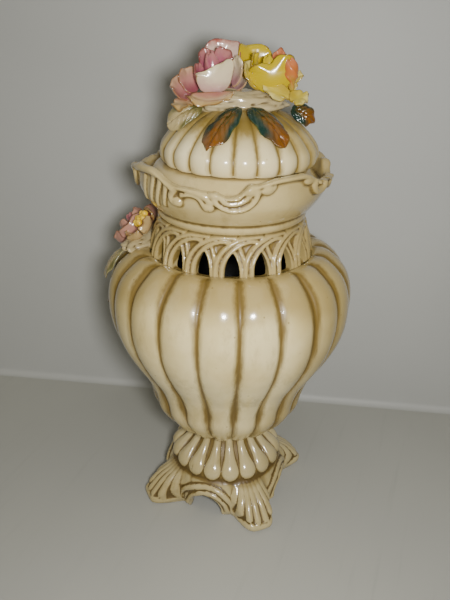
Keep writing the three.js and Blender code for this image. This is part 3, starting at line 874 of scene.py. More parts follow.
# Radius, height and zone of each corner: 0 to 2 outside, from the top down, then the arch and the hollow
def footProfile(azimuth):
    side = abs((((azimuth % 90) + 135) % 90) - 45)
    toe = float(smoothstep(side, 25, 40))
    top, skirt = foot["top"], foot["skirt"]
    edge = foot["sideRadius"] + (foot["toeRadius"] - foot["sideRadius"]) * toe
    ratio = side / foot["archHalfAngle"]
    lift = foot["archHeight"] * math.sqrt(1 - ratio ** 2) if ratio < 1 else 0

    def topAt(share):
        return 28 - (9 + 13 * toe) * share ** (1 + 0.4 * toe)

    def across(share):
        return skirt + (edge - skirt) * share

    crown = max(topAt(0.9), lift + 2)
    return [
        (0, 48, 5), (14, 46, 5), (24, 39, 5), (31, 31, 5), (36, 22, 5), (edge - 7, min(lift + 3, 20), 5),
        (edge - 6, lift, 4), (edge - 0.8, lift, 3), (edge, max(crown - 3, lift + 1.2), 2),
        (across(0.9), crown, 2), (across(0.45), topAt(0.45), 2), (across(0.03), topAt(0), 2), (40.4, 29.6, 1),
        (40.5, 32, 1), (39.8, 35.6, 1), (36.7, 39.8, 1), (31.7, 43.8, 1), (26.6, 49.2, 1), (24, 54, 1),
        (23.4, top, 1), (20, top, 0), (0, top, 0),
    ]


# The foot's ornament at each place on its outside: how far it stands out, and where the brown gathers
def footRelief(azimuth, radius, height, values):
    pitch = 360 / values["tongues"]
    across = ((azimuth - values["tongueAt"] + pitch / 2) % pitch - pitch / 2) * math.pi / 180 * radius
    down = 0.6 * (radius - 24) + 0.8 * (57 - height)
    tongue = raised(np.stack([across, down], axis=1), values["tonguePath"], values["tongueWidths"])
    cone = 1 - smoothstep(radius, 40.6, 42.2)
    # rolls and scrolls on each side
    side = (azimuth + 45) % 90 - 45
    sideways = np.stack([radius * np.sin(np.radians(side)), height], axis=1)
    rolls = standing(sideways, values["sideRolls"])
    rollBrown = besideLines(sideways, values["sideRolls"], values["rollBrown"])
    onSide = 1 - smoothstep(np.abs(side), 24.5, 29)
    # fingers and border on each toe
    toe = np.radians((azimuth % 90) - 45)
    reach = values["skirt"] + 0.62 * (radius - values["skirt"]) + 0.78 * (28 - height)
    spread = np.stack([reach * np.cos(toe), reach * np.sin(toe)], axis=1)

    def plan(path):
        return [(r * math.cos(math.radians(a)), r * math.sin(math.radians(a))) for a, r in path]

    fingers = standing(spread, [(plan(path), widths, 1) for path, widths in values["fingers"]])
    rim = raised(spread, plan(values["border"]), values["borderWidths"])
    onToe = smoothstep(np.abs(side), 22.5, 26.5)
    grown = smoothstep(reach, 43, 62)
    toes = np.maximum(fingers * (0.3 + 1.9 * grown), rim * values["borderHeight"]) * onToe
    skirt = 1 - cone
    relief = tongue * values["tongueHeight"] * cone + np.maximum(rolls * onSide, toes) * skirt
    toeBrown = (1 - smoothstep(np.maximum(fingers, rim), 0.1, 0.75)) * grown ** 2 * onToe * (height > 1.5)
    brown = (1 - smoothstep(tongue, 0.05, 0.6)) * cone * (0.35 + 0.65 * smoothstep(down, -1, 4))
    edge = np.exp(-((radius - 41.2) / 0.9) ** 2) * (1 - tongue)
    brown = np.maximum(brown, np.maximum(edge, np.maximum(rollBrown * onSide, toeBrown) * skirt))
    return relief - 0.9 * skirt * smoothstep(np.abs(side), 20, 28) - 0.5 * cone * (1 - tongue), brown


def makeFoot(values):
    rows, columns = values["stepsRound"], values["stepsAlong"]
    points, azimuth, zone = turnedGrid(footProfile, rows, columns)
    normals = gridNormals(points).reshape(-1, 3)
    flat = points.reshape(-1, 3)
    outside = (1 - smoothstep(zone, 2.6, 3.0)) * smoothstep(zone, 0.3, 0.6)
    relief, brown = footRelief(azimuth, np.hypot(flat[:, 0], flat[:, 1]), flat[:, 2], values)
    moved = flat + (relief * outside)[:, None] * normals
    moved[:, 2] = np.maximum(moved[:, 2], 0)
    marks = {"washed": brown * outside, "inside": smoothstep(zone, 3.6, 4.4)}
    piece = settled(softened(gridPiece("pedestalFoot", moved, rows, columns, marks), 1))
    markHollows(piece, *values["hollows"])
    finished(piece, "vase", "footGlaze", "cream_glaze", "pedestal_foot")


makeFoot(foot)
print("foot made")


# A line given by azimuth and height, laid flat as if the wall at that radius were unrolled
def unrolled(path, radius):
    return [(a * math.pi / 180 * radius, h) for a, h in path]


def radialWays(azimuth):
    return np.stack([np.cos(np.radians(azimuth)), np.sin(np.radians(azimuth)), 0 * azimuth], axis=1)


# The straps are lines over one window: azimuth and height, widths, rise. "wall" is some heights, and the
# neck's inner radius at each. "profile" is radius and height, and 0 on the outside or 1 inside
neck = {
    "windows": 18, "strapAt": 22.8, "windowAt": 21.0, "windowWidth": 9.2, "windowHeight": 16.2, "sill": 197.4,
    "cutFrom": 38, "cutTo": 60,
    "stepsRound": 720, "stepsAlong": 70, "voxel": 0.63, "radius": 50, "litSide": 10,
    "hollows": (0.3, 8, 0.7, 40),
    "wall": ([196.6, 205, 215, 222.7], [48, 46.5, 43.5, 41.5]),
    "straps": [
        ([(-13.1, 194), (-13.1, 198), (-12.8, 206), (-10.7, 211.5), (-5.9, 216.5), (1.1, 220.3), (9.6, 222.2),
          (19.7, 222.4)], [3.4, 3, 2.8], 3.1),
        ([(-8.9, 194), (-8.7, 198), (-8.5, 205), (-6.4, 210), (-2.3, 214.5), (2.9, 217.7), (10.2, 219.6),
          (16.3, 219.4)], [3.4, 3, 2.4], 2.7),
        ([(4.6, 194), (4.6, 198), (3.2, 205.5), (1.2, 210.8), (-1.5, 214.6)], [3.2, 2.8, 2.2], 1.9),
        ([(8, 194), (7.6, 198), (6.6, 206), (5.1, 211.4), (3.2, 216)], [3.2, 2.8, 2.2], 1.9),
    ],
    "profile": [
        (48, 196.6, 1), (52.6, 196.6, 1), (52.8, 199, 0), (51.2, 207, 0), (49, 215, 0), (46.8, 222.7, 0),
        (44, 222.7, 1), (41.5, 222.7, 1), (43.5, 215, 1), (46.5, 205, 1), (48, 196.6, 1),
    ],
}


def neckRelief(azimuth, height, values):
    pitch, radius = 360 / values["windows"], values["radius"]
    lines = [(unrolled(path, radius), widths, tall) for path, widths, tall in values["straps"]]
    relief = np.zeros(len(height))
    for turn in (-2, -1, 0, 1, 2):
        across = (azimuth - values["strapAt"] + pitch / 2) % pitch - pitch / 2 + turn * pitch
        seen = np.stack([across * math.pi / 180 * radius, height], axis=1)
        relief = np.maximum(relief, standing(seen, lines))
    return relief


def makeNeck(values):
    rows, columns = values["stepsRound"], values["stepsAlong"]
    points, azimuth, zone = turnedGrid(lambda angle: values["profile"], rows, columns)
    flat = points.reshape(-1, 3)
    outer = 1 - smoothstep(zone, 0.3, 0.9)
    relief = (neckRelief(azimuth, flat[:, 2], values) - 0.4) * outer
    moved = flat + relief[:, None] * radialWays(azimuth)
    piece = gridPiece("piercedNeck", moved, rows, columns)
    cutter = objectOf("windowCutters", windowCutters(values))
    cut = piece.modifiers.new("windows", "BOOLEAN")
    cut.operation = "DIFFERENCE"
    cut.solver = "EXACT"
    cut.object = cutter
    settled(piece)
    bpy.data.objects.remove(cutter)
    remeshed(piece, values["voxel"])
    markHollows(piece, *values["hollows"])
    azimuth, radius, height = turnedPlaces(piece)
    # the inner wall is painted near black, as painted shade
    marked(piece, "inside", radius < np.interp(height, *values["wall"]) + 0.5)
    marked(piece, "washed", 1 - smoothstep(neckRelief(azimuth, height, values), 0.2, 1.5))
    # an even brown, with painted shade darker on the flanks away from the side that faces the lamp
    brownAndShade = 0.38 + 0.35 * smoothstep(roundFromLit(azimuth, values["litSide"]), 25, 75)
    addBrownAndShade(piece, brownAndShade)
    finished(piece, "vase", "reliefGlaze", "cream_glaze", "pierced_neck")


# One arched wedge for each window, from inside the wall to outside it
def windowCutters(values):
    half, tall = values["windowWidth"] / 2, values["windowHeight"]
    t = np.linspace(0, 1, 12)[:, None]
    corner, side, top = np.array([half, 0]), np.array([half * 1.05, tall * 0.62]), np.array([0, tall])
    right = (1 - t) ** 2 * corner + 2 * t * (1 - t) * side + t ** 2 * top
    outline = np.vstack([right, right[-2::-1] * [-1, 1]])
    outline[:, 1] += values["sill"]
    n = len(outline)
    points, faces = [], []
    for k in range(values["windows"]):
        angle = math.radians(values["windowAt"] + 360 / values["windows"] * k)
        c, s = math.cos(angle), math.sin(angle)
        for r in (values["cutFrom"], values["cutTo"]):
            first = len(points)
            points += [(r * c - x * s, r * s + x * c, z) for x, z in outline]
            faces.append([first + i for i in range(n)])
        a, b = len(points) - 2 * n, len(points) - n
        faces += [[a + i, a + (i + 1) % n, b + (i + 1) % n, b + i] for i in range(n)]
    mesh = bpy.data.meshes.new("windowCutters")
    mesh.from_pydata((np.array(points) * 0.001).tolist(), [], faces)
    facedOut(mesh)
    return mesh


makeNeck(neck)
print("neck made")


# One fan on the collar: its frame of scrolls, and the two shells inside it
def fanLines(start):
    lines = [
        ([(11, 253), (10.6, 249.5), (13.2, 245.6), (19.8, 242.8), (27, 244.3), (31.8, 249.2), (32.6, 254),
          (29.5, 256.4)], [4.6, 2.8, 2.8, 2.8, 3.2, 4.6], 2.2),
        ([(13.4, 250.8), (16, 247.9), (19.7, 246.9), (25, 248), (28.8, 251.6)], [2.6, 2.4, 2.6], 1.7),
        ([(14.8, 253), (17, 251), (19.6, 250.4), (23, 251), (25.2, 253.8)], [2.6, 2.4, 2.8], 1.9),
    ]
    return [([(start + a, h) for a, h in path], widths, tall) for path, widths, tall in lines]


# One half of the collar: the knobs by azimuth, height, width and rise, and the lines by azimuth and height,
# widths and rise. "rimKnobs" is how high, where and how wide the rim swells over a knob, in each quarter, and
# "throat" is some heights, and the radius of the passage inside at each
collar = {
    "dipAt": 19.6, "stepsRound": 800, "stepsAlong": 120, "voxel": 0.75, "lineWidth": 1.15, "lineHeight": 1.35,
    "radius": 60, "hollows": (0.3, 8, 0.8, 50), "throat": ([223, 232, 244, 251], [41.8, 42.7, 42.7, 36.2]),
    "rimKnobs": [(2.6, 28.8, 3.4), (2, 11.2, 3)],
    "rim": [
        (0, 250.5), (13, 258.3), (24, 262), (42, 262.9), (57, 255.4), (70, 255.1), (77, 253.3), (90, 250.5),
    ],
    "knobs": [
        (28.8, 255.8, 8.6, 3.6), (11.2, 253, 7.8, 3.4), (6.8, 244.4, 6.8, 3), (-11.4, 245, 6.4, 3),
        (38.4, 255.7, 6.6, 2.6), (118.8, 255.8, 8.6, 3.6), (101.2, 253, 7.8, 3.4), (-26.5, 259.6, 6.4, 2.8),
        (64.4, 257.6, 6.4, 3),
    ],
    "lines": [
        ([(-38.3, 255), (-43.4, 239.8)], [3.2, 2.2], 1.1),
        ([(-28.5, 257.6), (-35.2, 240.4)], [3.4, 2.2], 1.2),
        ([(-23.3, 255.5), (-30.2, 238.4)], [3.4, 2.2], 1.2),
        ([(-18.8, 253.5), (-22.7, 240.4)], [3.4, 2.2], 1.2),
        ([(-49, 258), (-43, 259.4), (-31, 260.4), (-23, 259.6), (-18.4, 256.7), (-13.4, 253.3)],
         [4.4, 4.8, 4.6, 4], 2.4),
        ([(-13.4, 253.6), (-10.2, 254.6), (-2.7, 254.2), (4.1, 251.6), (8.6, 247.6)],
         [4.2, 4.4, 4.4, 3.6], 2.0),
        ([(-12.5, 252.5), (-15.2, 248.5), (-14.6, 245), (-12, 243.9), (-10.5, 245.4)], [4, 3.8, 3.4, 4], 2.0),
        ([(-8.5, 249.5), (-2.8, 250.8), (2, 249.4), (4.6, 245.5), (6.3, 243.4)], [2.2, 2.4, 2.6, 4.4], 1.8),
        ([(32.1, 257.8), (35.9, 259.6), (42.7, 260.6), (50, 261.2), (58.3, 261.2), (64, 260.4)],
         [4, 4.4, 4.6, 4.4, 4], 2.4),
        ([(34, 256.5), (36.2, 254), (39.5, 253.4), (41.9, 256)], [2.4, 2.6, 3.2], 1.3),
        ([(64, 260.4), (67.2, 258), (64.6, 256.4)], [4, 3.6, 3.4], 2.2),
        ([(70.9, 259.5), (69.6, 254.6), (72.8, 249.6), (79, 249.4), (81.8, 253), (79.6, 257), (75.8, 257.8),
          (73.8, 255)], [4.6, 4.2, 4, 3.6, 3], 2.8),
        ([(84, 258), (88, 256.6), (93, 254.6), (98.5, 252.5)], [4.2, 4.4, 4.2], 2.2),
        ([(122, 257.5), (126, 258.8), (131, 258.6)], [4, 4.4, 4.4], 2.3),
        *fanLines(0), *fanLines(90),
    ],
}


def rimHeight(azimuth):
    angles, heights = np.array(collar["rim"]).T
    shifts = (-3, -1.5, 0, 1.5, 3)
    rise = np.interp([(azimuth - collar["dipAt"] + shift) % 90 for shift in shifts], angles, heights)
    from90 = azimuth % 90
    knobs = sum(tall * math.exp(-((from90 - at) / wide) ** 2) for tall, at, wide in collar["rimKnobs"])
    return float(rise.mean()) + knobs


def collarProfile(azimuth):
    rim = rimHeight(azimuth)
    return [
        (45, 223, 1), (47.2, 223, 1), (49.6, 226, 0), (48.2, 229.2, 0), (51.4, 230.8, 0), (56.6, 237.5, 0),
        (60, 243.5, 0), (61.4, rim - 3, 0), (61.9, rim - 1.2, 0), (60.9, rim, 0), (59, rim - 0.6, 1),
        (57.4, 249.3, 1), (55.4, 247, 1), (49.8, 256, 1), (48, 257, 1), (36.8, 257, 1), (36, 256, 1),
        (36, 251, 1), (42.5, 244, 1), (42.5, 232, 1), (41.6, 223, 1), (45, 223, 1),
    ]


# Both halves of the collar carry the same relief
def collarPlaces(azimuth, height):
    across = (azimuth + 49) % 180 - 49
    return np.stack([across * math.pi / 180 * collar["radius"], height], axis=1)


def makeCollar(values):
    rows, columns = values["stepsRound"], values["stepsAlong"]
    points, azimuth, zone = turnedGrid(collarProfile, rows, columns)
    flat = points.reshape(-1, 3)
    outer = 1 - smoothstep(zone, 0.35, 0.9)
    around, wider, higher = values["radius"], values["lineWidth"], values["lineHeight"]
    lines = [
        (unrolled(path, around), [width * wider for width in widths], tall * higher)
        for path, widths, tall in values["lines"]
    ]
    lines += [
        (unrolled([(a - 0.4, h), (a + 0.4, h)], around), [width, width], rise)
        for a, h, width, rise in values["knobs"]
    ]
    relief = standing(collarPlaces(azimuth, flat[:, 2]), lines) * outer
    moved = flat + relief[:, None] * (radialWays(azimuth) * 0.92 - np.array([0, 0, 0.3]))
    piece = remeshed(gridPiece("scrollCollar", moved, rows, columns), values["voxel"])
    markHollows(piece, *values["hollows"])
    azimuth, radius, height = turnedPlaces(piece)
    brown = besideLines(collarPlaces(azimuth, height), lines, 3.0)
    brown = 0.85 * brown * (radius > 56.5) * smoothstep(outwardness(piece), 0.0, 0.2)
    # the bead at the collar's root, and the channel between its rim and the lid's seat
    bead = np.exp(-((height - 229.6) / 1.1) ** 2) * (radius < 51)
    inChannel = (radius > 49.5) * (radius < 57.5) * (height > 244)
    channel = (0.3 + 0.45 * smoothstep(-height, -252, -247)) * inChannel
    marked(piece, "washed", np.maximum(np.maximum(brown, bead), channel))
    # an even brown, with painted shade darker on the flanks away from azimuth 0, the side that faces the lamp
    brownAndShade = 0.1 + 0.5 * smoothstep(roundFromLit(azimuth, 0), 25, 85)
    addBrownAndShade(piece, brownAndShade)
    # the throat's inner wall is painted near black, as painted shade
    inside = radius < np.interp(height, *values["throat"]) + 0.4
    marked(piece, "inside", inside * (height < 250))
    finished(piece, "vase", "reliefGlaze", "cream_glaze", "scroll_collar")


makeCollar(collar)
print("collar made")


def unit(v):
    v = np.asarray(v, float)
    return v / np.linalg.norm(v)


def turnedAbout(v, axis, angle):
    c, s = math.cos(angle), math.sin(angle)
    return v * c + np.cross(axis, v) * s + axis * (axis @ v) * (1 - c)


# One thin blade of clay from root to tip, bowed, cupped and rolled, with a rippled rim and a curled tip
def bladePoints(form, size):
    root, tip = np.array(form["root"], float), np.array(form["tip"], float)
    width, bow, cup = form["width"], form.get("bow", 0), form.get("cup", 1e4)
    fullness, thick = form.get("fullness", 2.2), form.get("thick", 1.7)
    way = unit(tip - root)
    tip = tip + form.get("longer", 0) * way
    sideways = turnedAbout(unit(np.cross(way, form["face"])), way, math.radians(form.get("roll", 0)))
    normal = unit(np.cross(sideways, way))
    middle = (root + tip) / 2 - 2 * bow * normal
    line = np.linspace(-1, 1, size)
    a, b = np.meshgrid(line, line, indexing="ij")
    x, z = a * np.sqrt(1 - b ** 2 / 2), b * np.sqrt(1 - a ** 2 / 2)
    norm = (np.abs(x) ** fullness + np.abs(z) ** fullness) ** (1 / fullness)
    full = np.hypot(x, z) / np.maximum(norm, 1e-9)
    t, s = (1 + x * full) / 2, z * full
    rim = np.maximum(np.abs(a), np.abs(b))
    seed = form.get("seed", 0)
    angle = np.arctan2(z, x)
    # the outline: a point or a notch at the tip, and an uneven rim
    reach = form.get("point", 0) * (1 - np.abs(s)) ** 2 - form.get("notch", 0) * np.exp(-(s / 0.22) ** 2)
    uneven = 0.04 * np.sin(3 * angle + seed) + 0.03 * np.sin(7 * angle + 2.3 * seed)
    reach = reach + form.get("slant", 0) * s
    tt = t + smoothstep(t, 0.5, 1) * reach + uneven * (t - 0.3) * rim ** 3
    across = s * width / 2 * (0.8 + 0.4 * t) * (1 + uneven * rim ** 3)
    q = np.clip(tt, -0.2, 1.3)[..., None]
    spine = (1 - q) ** 2 * root + 2 * q * (1 - q) * middle + q ** 2 * tip
    # the tip curls back over its outer side
    curl, curlFrom = form.get("curl", 0), form.get("curlFrom", 0.72)
    if curl:
        length = np.linalg.norm(tip - root)
        c = curlFrom
        atTurn = (1 - c) ** 2 * root + 2 * c * (1 - c) * middle + c ** 2 * tip
        tangent = unit(2 * (1 - c) * (middle - root) + 2 * c * (tip - middle))
        lifted = unit(np.cross(sideways, tangent))
        beyond = np.maximum(tt - c, 0)[..., None] * length
        rolled = atTurn + tangent * curl * np.sin(beyond / curl) - lifted * curl * (1 - np.cos(beyond / curl))
        spine = np.where(tt[..., None] > c, rolled, spine)
    bend = across / cup
    place = spine + sideways * (cup * np.sin(bend))[..., None]
    place = place + normal * (cup * (1 - np.cos(bend)))[..., None]
    ripple = form.get("ripple", 0.9)
    wave = np.sin(5 * angle + 1.7 * seed) + 0.6 * np.sin(9 * angle + 2.9 * seed + 1)
    place = place + normal * (ripple * wave * rim ** 3 * smoothstep(t, 0.15, 0.7))[..., None]
    vein = np.zeros_like(t)
    if form.get("leaf"):
        rib = np.exp(-(s / 0.07) ** 2)
        sideVeins = 0.5 + 0.5 * np.cos(2 * math.pi * (5.5 * t - 2.6 * np.abs(s)))
        vein = np.maximum(rib, 0.8 * sideVeins * (1 - rim ** 4))
        place = place + normal * (0.55 * sideVeins * (1 - rim ** 3) - 0.9 * rib)[..., None]
    up = np.cross(np.gradient(place, axis=0), np.gradient(place, axis=1))
    up /= np.maximum(np.linalg.norm(up, axis=2, keepdims=True), 1e-9)
    if np.sum(up @ normal) < 0:
        up = -up
    half = (thick / 2 * (1 - 0.55 * rim ** 4) * (1.25 - 0.5 * t))[..., None]
    return place + up * half, place - up * half, {"along": t, "across": s, "rim": rim, "vein": vein}


def bladeMesh(name, form, size=30):
    front, back, marks = bladePoints(form, size)
    n = size * size
    faces = gridFaces(size, size)
    edge = np.r_[
        np.arange(size), np.arange(1, size) * size + size - 1,
        (size - 1) * size + np.arange(size - 2, -1, -1), np.arange(size - 2, 0, -1) * size,
    ]
    following = np.roll(edge, -1)
    wall = np.stack([edge, following, following + n, edge + n], axis=1)
    points = np.vstack([front.reshape(-1, 3), back.reshape(-1, 3)])
    values = {mark: np.r_[value.ravel(), value.ravel()] for mark, value in marks.items()}
    values["behind"] = np.r_[np.zeros(n), np.ones(n)]
    return meshOf(name, points, np.vstack([faces, faces[:, ::-1] + n, wall]), values)


# A bud: petals wound round a teardrop, each lapping over the next
teardrop = [(0, 0), (0.62, 0.1), (1, 0.42), (0.86, 0.72), (0.5, 0.95), (0.16, 1), (0, 0.93)]


def budMesh(name, form, size=72):
    root, axis = np.array(form["root"], float), unit(form["axis"])
    length, radius = form["length"], form["radius"]
    laps, twist, lap = form.get("laps", 3), form.get("twist", 0.55), form.get("lap", 0.16)
    profile = evenly(roundedLine(form.get("outline", teardrop)), 44)
    share = np.linspace(0, 1, len(profile))
    turn = np.arange(size) / size
    phase = (turn[:, None] * laps + twist * laps * profile[None, :, 1] + form.get("seed", 0)) % 1
    step = (phase ** 1.4) * (1 - smoothstep(phase, 0.93, 1.0))
    swell = 1 + lap * (step - 0.4) * smoothstep(share, 0.05, 0.3)[None, :]
    offAxis = profile[None, :, 0] > 0.02
    r = profile[None, :, 0] * radius * swell
    h = profile[None, :, 1] * length + 1.6 * (step - 0.4) * smoothstep(share, 0.6, 0.9) * offAxis
    angle = 2 * math.pi * turn[:, None]
    first = unit(np.cross(axis, [0.3, 0.9, 0.2]))
    second = np.cross(axis, first)
    points = (
        root + first * (r * np.cos(angle))[..., None] + second * (r * np.sin(angle))[..., None]
        + axis * h[..., None]
    )
    rows, columns = points.shape[:2]
    marks = {
        "along": np.repeat(profile[None, :, 1], rows, axis=0).ravel() * 0.8 + 0.25 * step.ravel(),
        "rim": smoothstep(phase, 0.75, 0.93).ravel() * 0.93, "vein": np.zeros(rows * columns),
        "behind": np.zeros(rows * columns),
    }
    return meshOf(name, points.reshape(-1, 3), gridFaces(rows, columns, True), marks)


# Root, tip and facing of a petal at an angle round a flower, from how far out its root and its tip lie
def onFlower(flower, angle, rootRadius, tipRadius, rise):
    axis = Vector(unit(flower["axis"]))
    turn = Vector((0, 0, 1)).rotation_difference(axis)
    base = Vector(flower["root"])

    def at(radius, height):
        a = math.radians(angle)
        return tuple(turn @ Vector((radius * math.cos(a), radius * math.sin(a), height)) + base)

    return at(rootRadius, 1), at(tipRadius, rise), tuple(axis)


slots = {
    "roseGlaze": "rose_glaze", "pinkGlaze": "pink_glaze", "whiteGlaze": "pink_glaze",
    "redRimGlaze": "pink_glaze", "blushGlaze": "blush_glaze", "yellowGlaze": "yellow_glaze",
    "lemonGlaze": "lemon_glaze", "orangeGlaze": "orange_glaze", "leafGlaze": "leaf_glaze",
    "oliveLeafGlaze": "leaf_glaze", "clayGlaze": "glazed_clay",
}


def plainName(node):
    words = node.split("_")
    return words[0] + "".join(word.capitalize() for word in words[1:])


# Puts a flower's or a leaf's mesh in the place of its node
def flowerPiece(node, mesh, material, body, matrix=None):
    piece = objectOf(plainName(node), mesh)
    if matrix is not None:
        mesh.transform(matrix)
    markHollows(piece, 0.6, 6, 1.0, 12)
    return finished(piece, body, material, slots[material], node)


# Every blade has its own seed, which goes on from the one before
def placeBlades(blades, seed, body, matrix=None):
    for node, (material, root, tip, face, width, shape) in blades.items():
        seed += 1.3
        form = {"seed": seed, "root": root, "tip": tip, "face": face, "width": width, **shape}
        flowerPiece(node, bladeMesh(node, form), material, body, matrix)
    return seed


# The shapes of petals and leaves
flatPetal = {"bow": 2, "cup": 26, "roll": 7, "fullness": 2.7, "ripple": 1.0, "slant": -0.5}
wavedPetal = {"bow": 1.2, "cup": 36, "roll": 7, "fullness": 2.7, "ripple": 1.7, "notch": 0.14, "slant": -0.08}
innerPetal = {"bow": 2, "cup": 9, "roll": 9, "ripple": 0.55}
middlePetal = {"bow": 3, "cup": 15, "roll": 7, "curl": 3.5, "curlFrom": 0.84, "ripple": 0.7}
lowPetal = {"bow": 2, "cup": 22, "roll": 5, "curl": 3.5, "curlFrom": 0.72, "ripple": 0.9}
rolledPetal = {**middlePetal, "curl": 1.9, "longer": 3.2, "fullness": 1.85, "ripple": 1.1, "slant": 0.12}
roundPetal = {**middlePetal, "curl": 2.6, "fullness": 2.1, "ripple": 1.1}
outerPetal = {**middlePetal, "bow": 4, "cup": 16, "roll": 8}
openPetal = {"bow": 2, "cup": 12, "roll": 9}
leaf = {
    "bow": -2.5, "cup": -22, "fullness": 2.2, "leaf": True, "point": 0.08, "ripple": 0.8, "thick": 1.8,
}
hangingLeaf = {**leaf, "bow": 0}

# The way that a petal's inner side faces
upright, upwards, inwards = (0, -0.5, 0.86), (0, 0, 1), (0, 0.85, 0.5)
rightwards, leftwards = (0.4, -0.3, 0.8), (-0.6, -0.3, 0.8)

# Each blade's glaze, root, tip, facing, width and shape
lidBlades = {
    "pink_rose_inner_right": ("roseGlaze", (-15.9, -9.6, 304.6), (-9, -8, 324.4), upright, 15, innerPetal),
    "pink_rose_inner_back": (
        "roseGlaze", (-16.9, -7.8, 305.3), (-21.7, -5, 324.6), upright, 12, innerPetal,
    ),
    "pink_rose_inner_left": (
        "roseGlaze", (-22.2, -14.3, 302.9), (-25.6, -13, 317.1), rightwards, 11, innerPetal,
    ),
    "pink_rose_front": ("whiteGlaze", (-18, -17, 300.6), (-14.5, -19, 316.5), inwards, 21, flatPetal),
    "pink_rose_right": ("whiteGlaze", (-4.9, -14, 304), (-3.1, -14, 321.4), leftwards, 11, middlePetal),
    "pink_rose_back": ("redRimGlaze", (-13.5, -4.4, 303.2), (-11.1, 2, 328.6), upright, 25, rolledPetal),
    "pink_rose_back_left": (
        "pinkGlaze", (-27, -11, 299.7), (-32.5, -10, 314.6), (0.15, -0.5, 0.8), 15, middlePetal,
    ),
    "pink_rose_left": ("pinkGlaze", (-27.5, -14.8, 297.6), (-40.6, -16, 307.8), upright, 20, middlePetal),
    "pink_rose_outer_front": (
        "blushGlaze", (-17.8, -18, 301.2), (-17.4, -28, 296.5), upwards, 28, lowPetal,
    ),
    "pink_rose_outer_left": ("blushGlaze", (-31.4, -17, 299.1), (-36.3, -24, 293.4), upwards, 16, lowPetal),
    "pink_rose_outer_back": ("blushGlaze", (-15, 1, 299), (-15, 13, 314), upright, 28, middlePetal),
    "pink_rose_outer_right": (
        "whiteGlaze", (-4, -3, 300.5), (1.2, -0.5, 315.5), leftwards, 19, middlePetal,
    ),
    "yellow_rose_inner_left": (
        "yellowGlaze", (10.7, -13.3, 303), (7.3, -12, 323.3), rightwards, 10, innerPetal,
    ),
    "yellow_rose_inner_right": (
        "orangeGlaze", (24.5, -9.6, 305.9), (21.6, -6, 324.8), upright, 10, innerPetal,
    ),
    "yellow_rose_left": (
        "lemonGlaze", (11.8, -15, 303.2), (3.1, -16, 318.8), (0.15, -0.4, 0.8), 14, middlePetal,
    ),
    "yellow_rose_back": ("yellowGlaze", (9, -5.5, 305.4), (6.8, 3, 328.2), upright, 23, roundPetal),
    "yellow_rose_front": ("yellowGlaze", (20.5, -17, 302.4), (15.8, -18, 320.5), inwards, 26, wavedPetal),
    "yellow_rose_back_right": (
        "lemonGlaze", (22.7, -10, 306.8), (36.3, -10, 312.2), upright, 8, innerPetal,
    ),
    "yellow_rose_outer_front": (
        "lemonGlaze", (28.5, -17, 302.1), (38.5, -22, 299), (0, -0.4, 0.9), 13, lowPetal,
    ),
    "yellow_rose_outer_right": (
        "lemonGlaze", (21.7, -12, 302.7), (32.9, -12, 306.3), upright, 8, innerPetal,
    ),
    "yellow_rose_outer_back": ("lemonGlaze", (16, 2, 300), (17, 13, 313), upright, 28, middlePetal),
    "yellow_rose_outer_left": (
        "lemonGlaze", (24.9, -19, 306.1), (17.3, -25, 301.1), (0, -0.6, 0.8), 19, lowPetal,
    ),
    "leaf_front_left": (
        "leafGlaze", (-0.8, -21.5, 293.5), (-17.5, -43.7, 275), (-0.3, -0.6, 0.8), 16, leaf,
    ),
    "leaf_front_right": (
        "leafGlaze", (5.5, -21.5, 293.3), (25.5, -37.5, 276.7), (0.3, -0.6, 0.8), 17, leaf,
    ),
    "leaf_right": ("leafGlaze", (30.5, -14, 292.5), (43.5, -15, 286), (0.1, -0.9, 0.5), 12, leaf),
    "leaf_left": ("oliveLeafGlaze", (-23, -14, 293), (-43, -15, 282), (-0.25, -0.8, 0.6), 15, leaf),
    "leaf_back_left": ("leafGlaze", (-10, 14, 296), (-24, 37, 283), (-0.3, 0.6, 0.8), 16, leaf),
    "leaf_back_right": ("leafGlaze", (10, 14, 296), (22, 37, 283), (0.3, 0.6, 0.8), 16, leaf),
}

lidBuds = {
    "pink_rose_heart": ("roseGlaze", {
        "root": (-15.5, -10.5, 299), "axis": (-0.11, -0.1, 0.99), "length": 24, "radius": 5.4, "lap": 0.22,
    }),
    "yellow_rose_heart": ("yellowGlaze", {
        "root": (18, -10.5, 300), "axis": (-0.14, -0.11, 0.98), "length": 22, "radius": 5, "lap": 0.2,
    }),
    "orange_bud": ("orangeGlaze", {
        "root": (30, -15, 302.5), "axis": (-0.13, -0.11, 0.98), "length": 18.6, "radius": 4.6,
        "laps": 4, "lap": 0.2, "outline": [
            (0, 0), (0.4, 0.04), (0.46, 0.3), (0.95, 0.44), (1, 0.7), (0.66, 0.94), (0.16, 1), (0, 0.93),
        ],
    }),
}

bouquetBase = {"centre": (-2, -5, 294), "radii": (30, 14, 8), "seed": 4.0}


# A mound of pressed clay that carries a spray: an ellipsoid with thumbed lumps
def moundMesh(name, form, lump=0.16, rows=72, columns=40):
    across = np.linspace(0, 2 * math.pi, rows, endpoint=False)[:, None]
    up = np.linspace(-math.pi / 2, math.pi / 2, columns)[None, :]
    ball = np.stack([
        np.cos(up) * np.cos(across), np.cos(up) * np.sin(across), np.repeat(np.sin(up), rows, axis=0),
    ], axis=2)
    wide, fine = Vector((form["seed"], 0, 0)), Vector((0, form["seed"], 0))
    places = [Vector(p) for p in ball.reshape(-1, 3)]
    bumps = [noise.noise(p * 2.6 + wide) + 0.5 * noise.noise(p * 6 + fine) for p in places]
    bumps = np.array(bumps).reshape(rows, columns, 1)
    points = np.array(form["centre"]) + ball * np.array(form["radii"]) * (1 + lump * bumps)
    marks = {"along": np.full(rows * columns, 0.5), "rim": np.zeros(rows * columns)}
    return meshOf(name, points.reshape(-1, 3), gridFaces(rows, columns, True), marks)


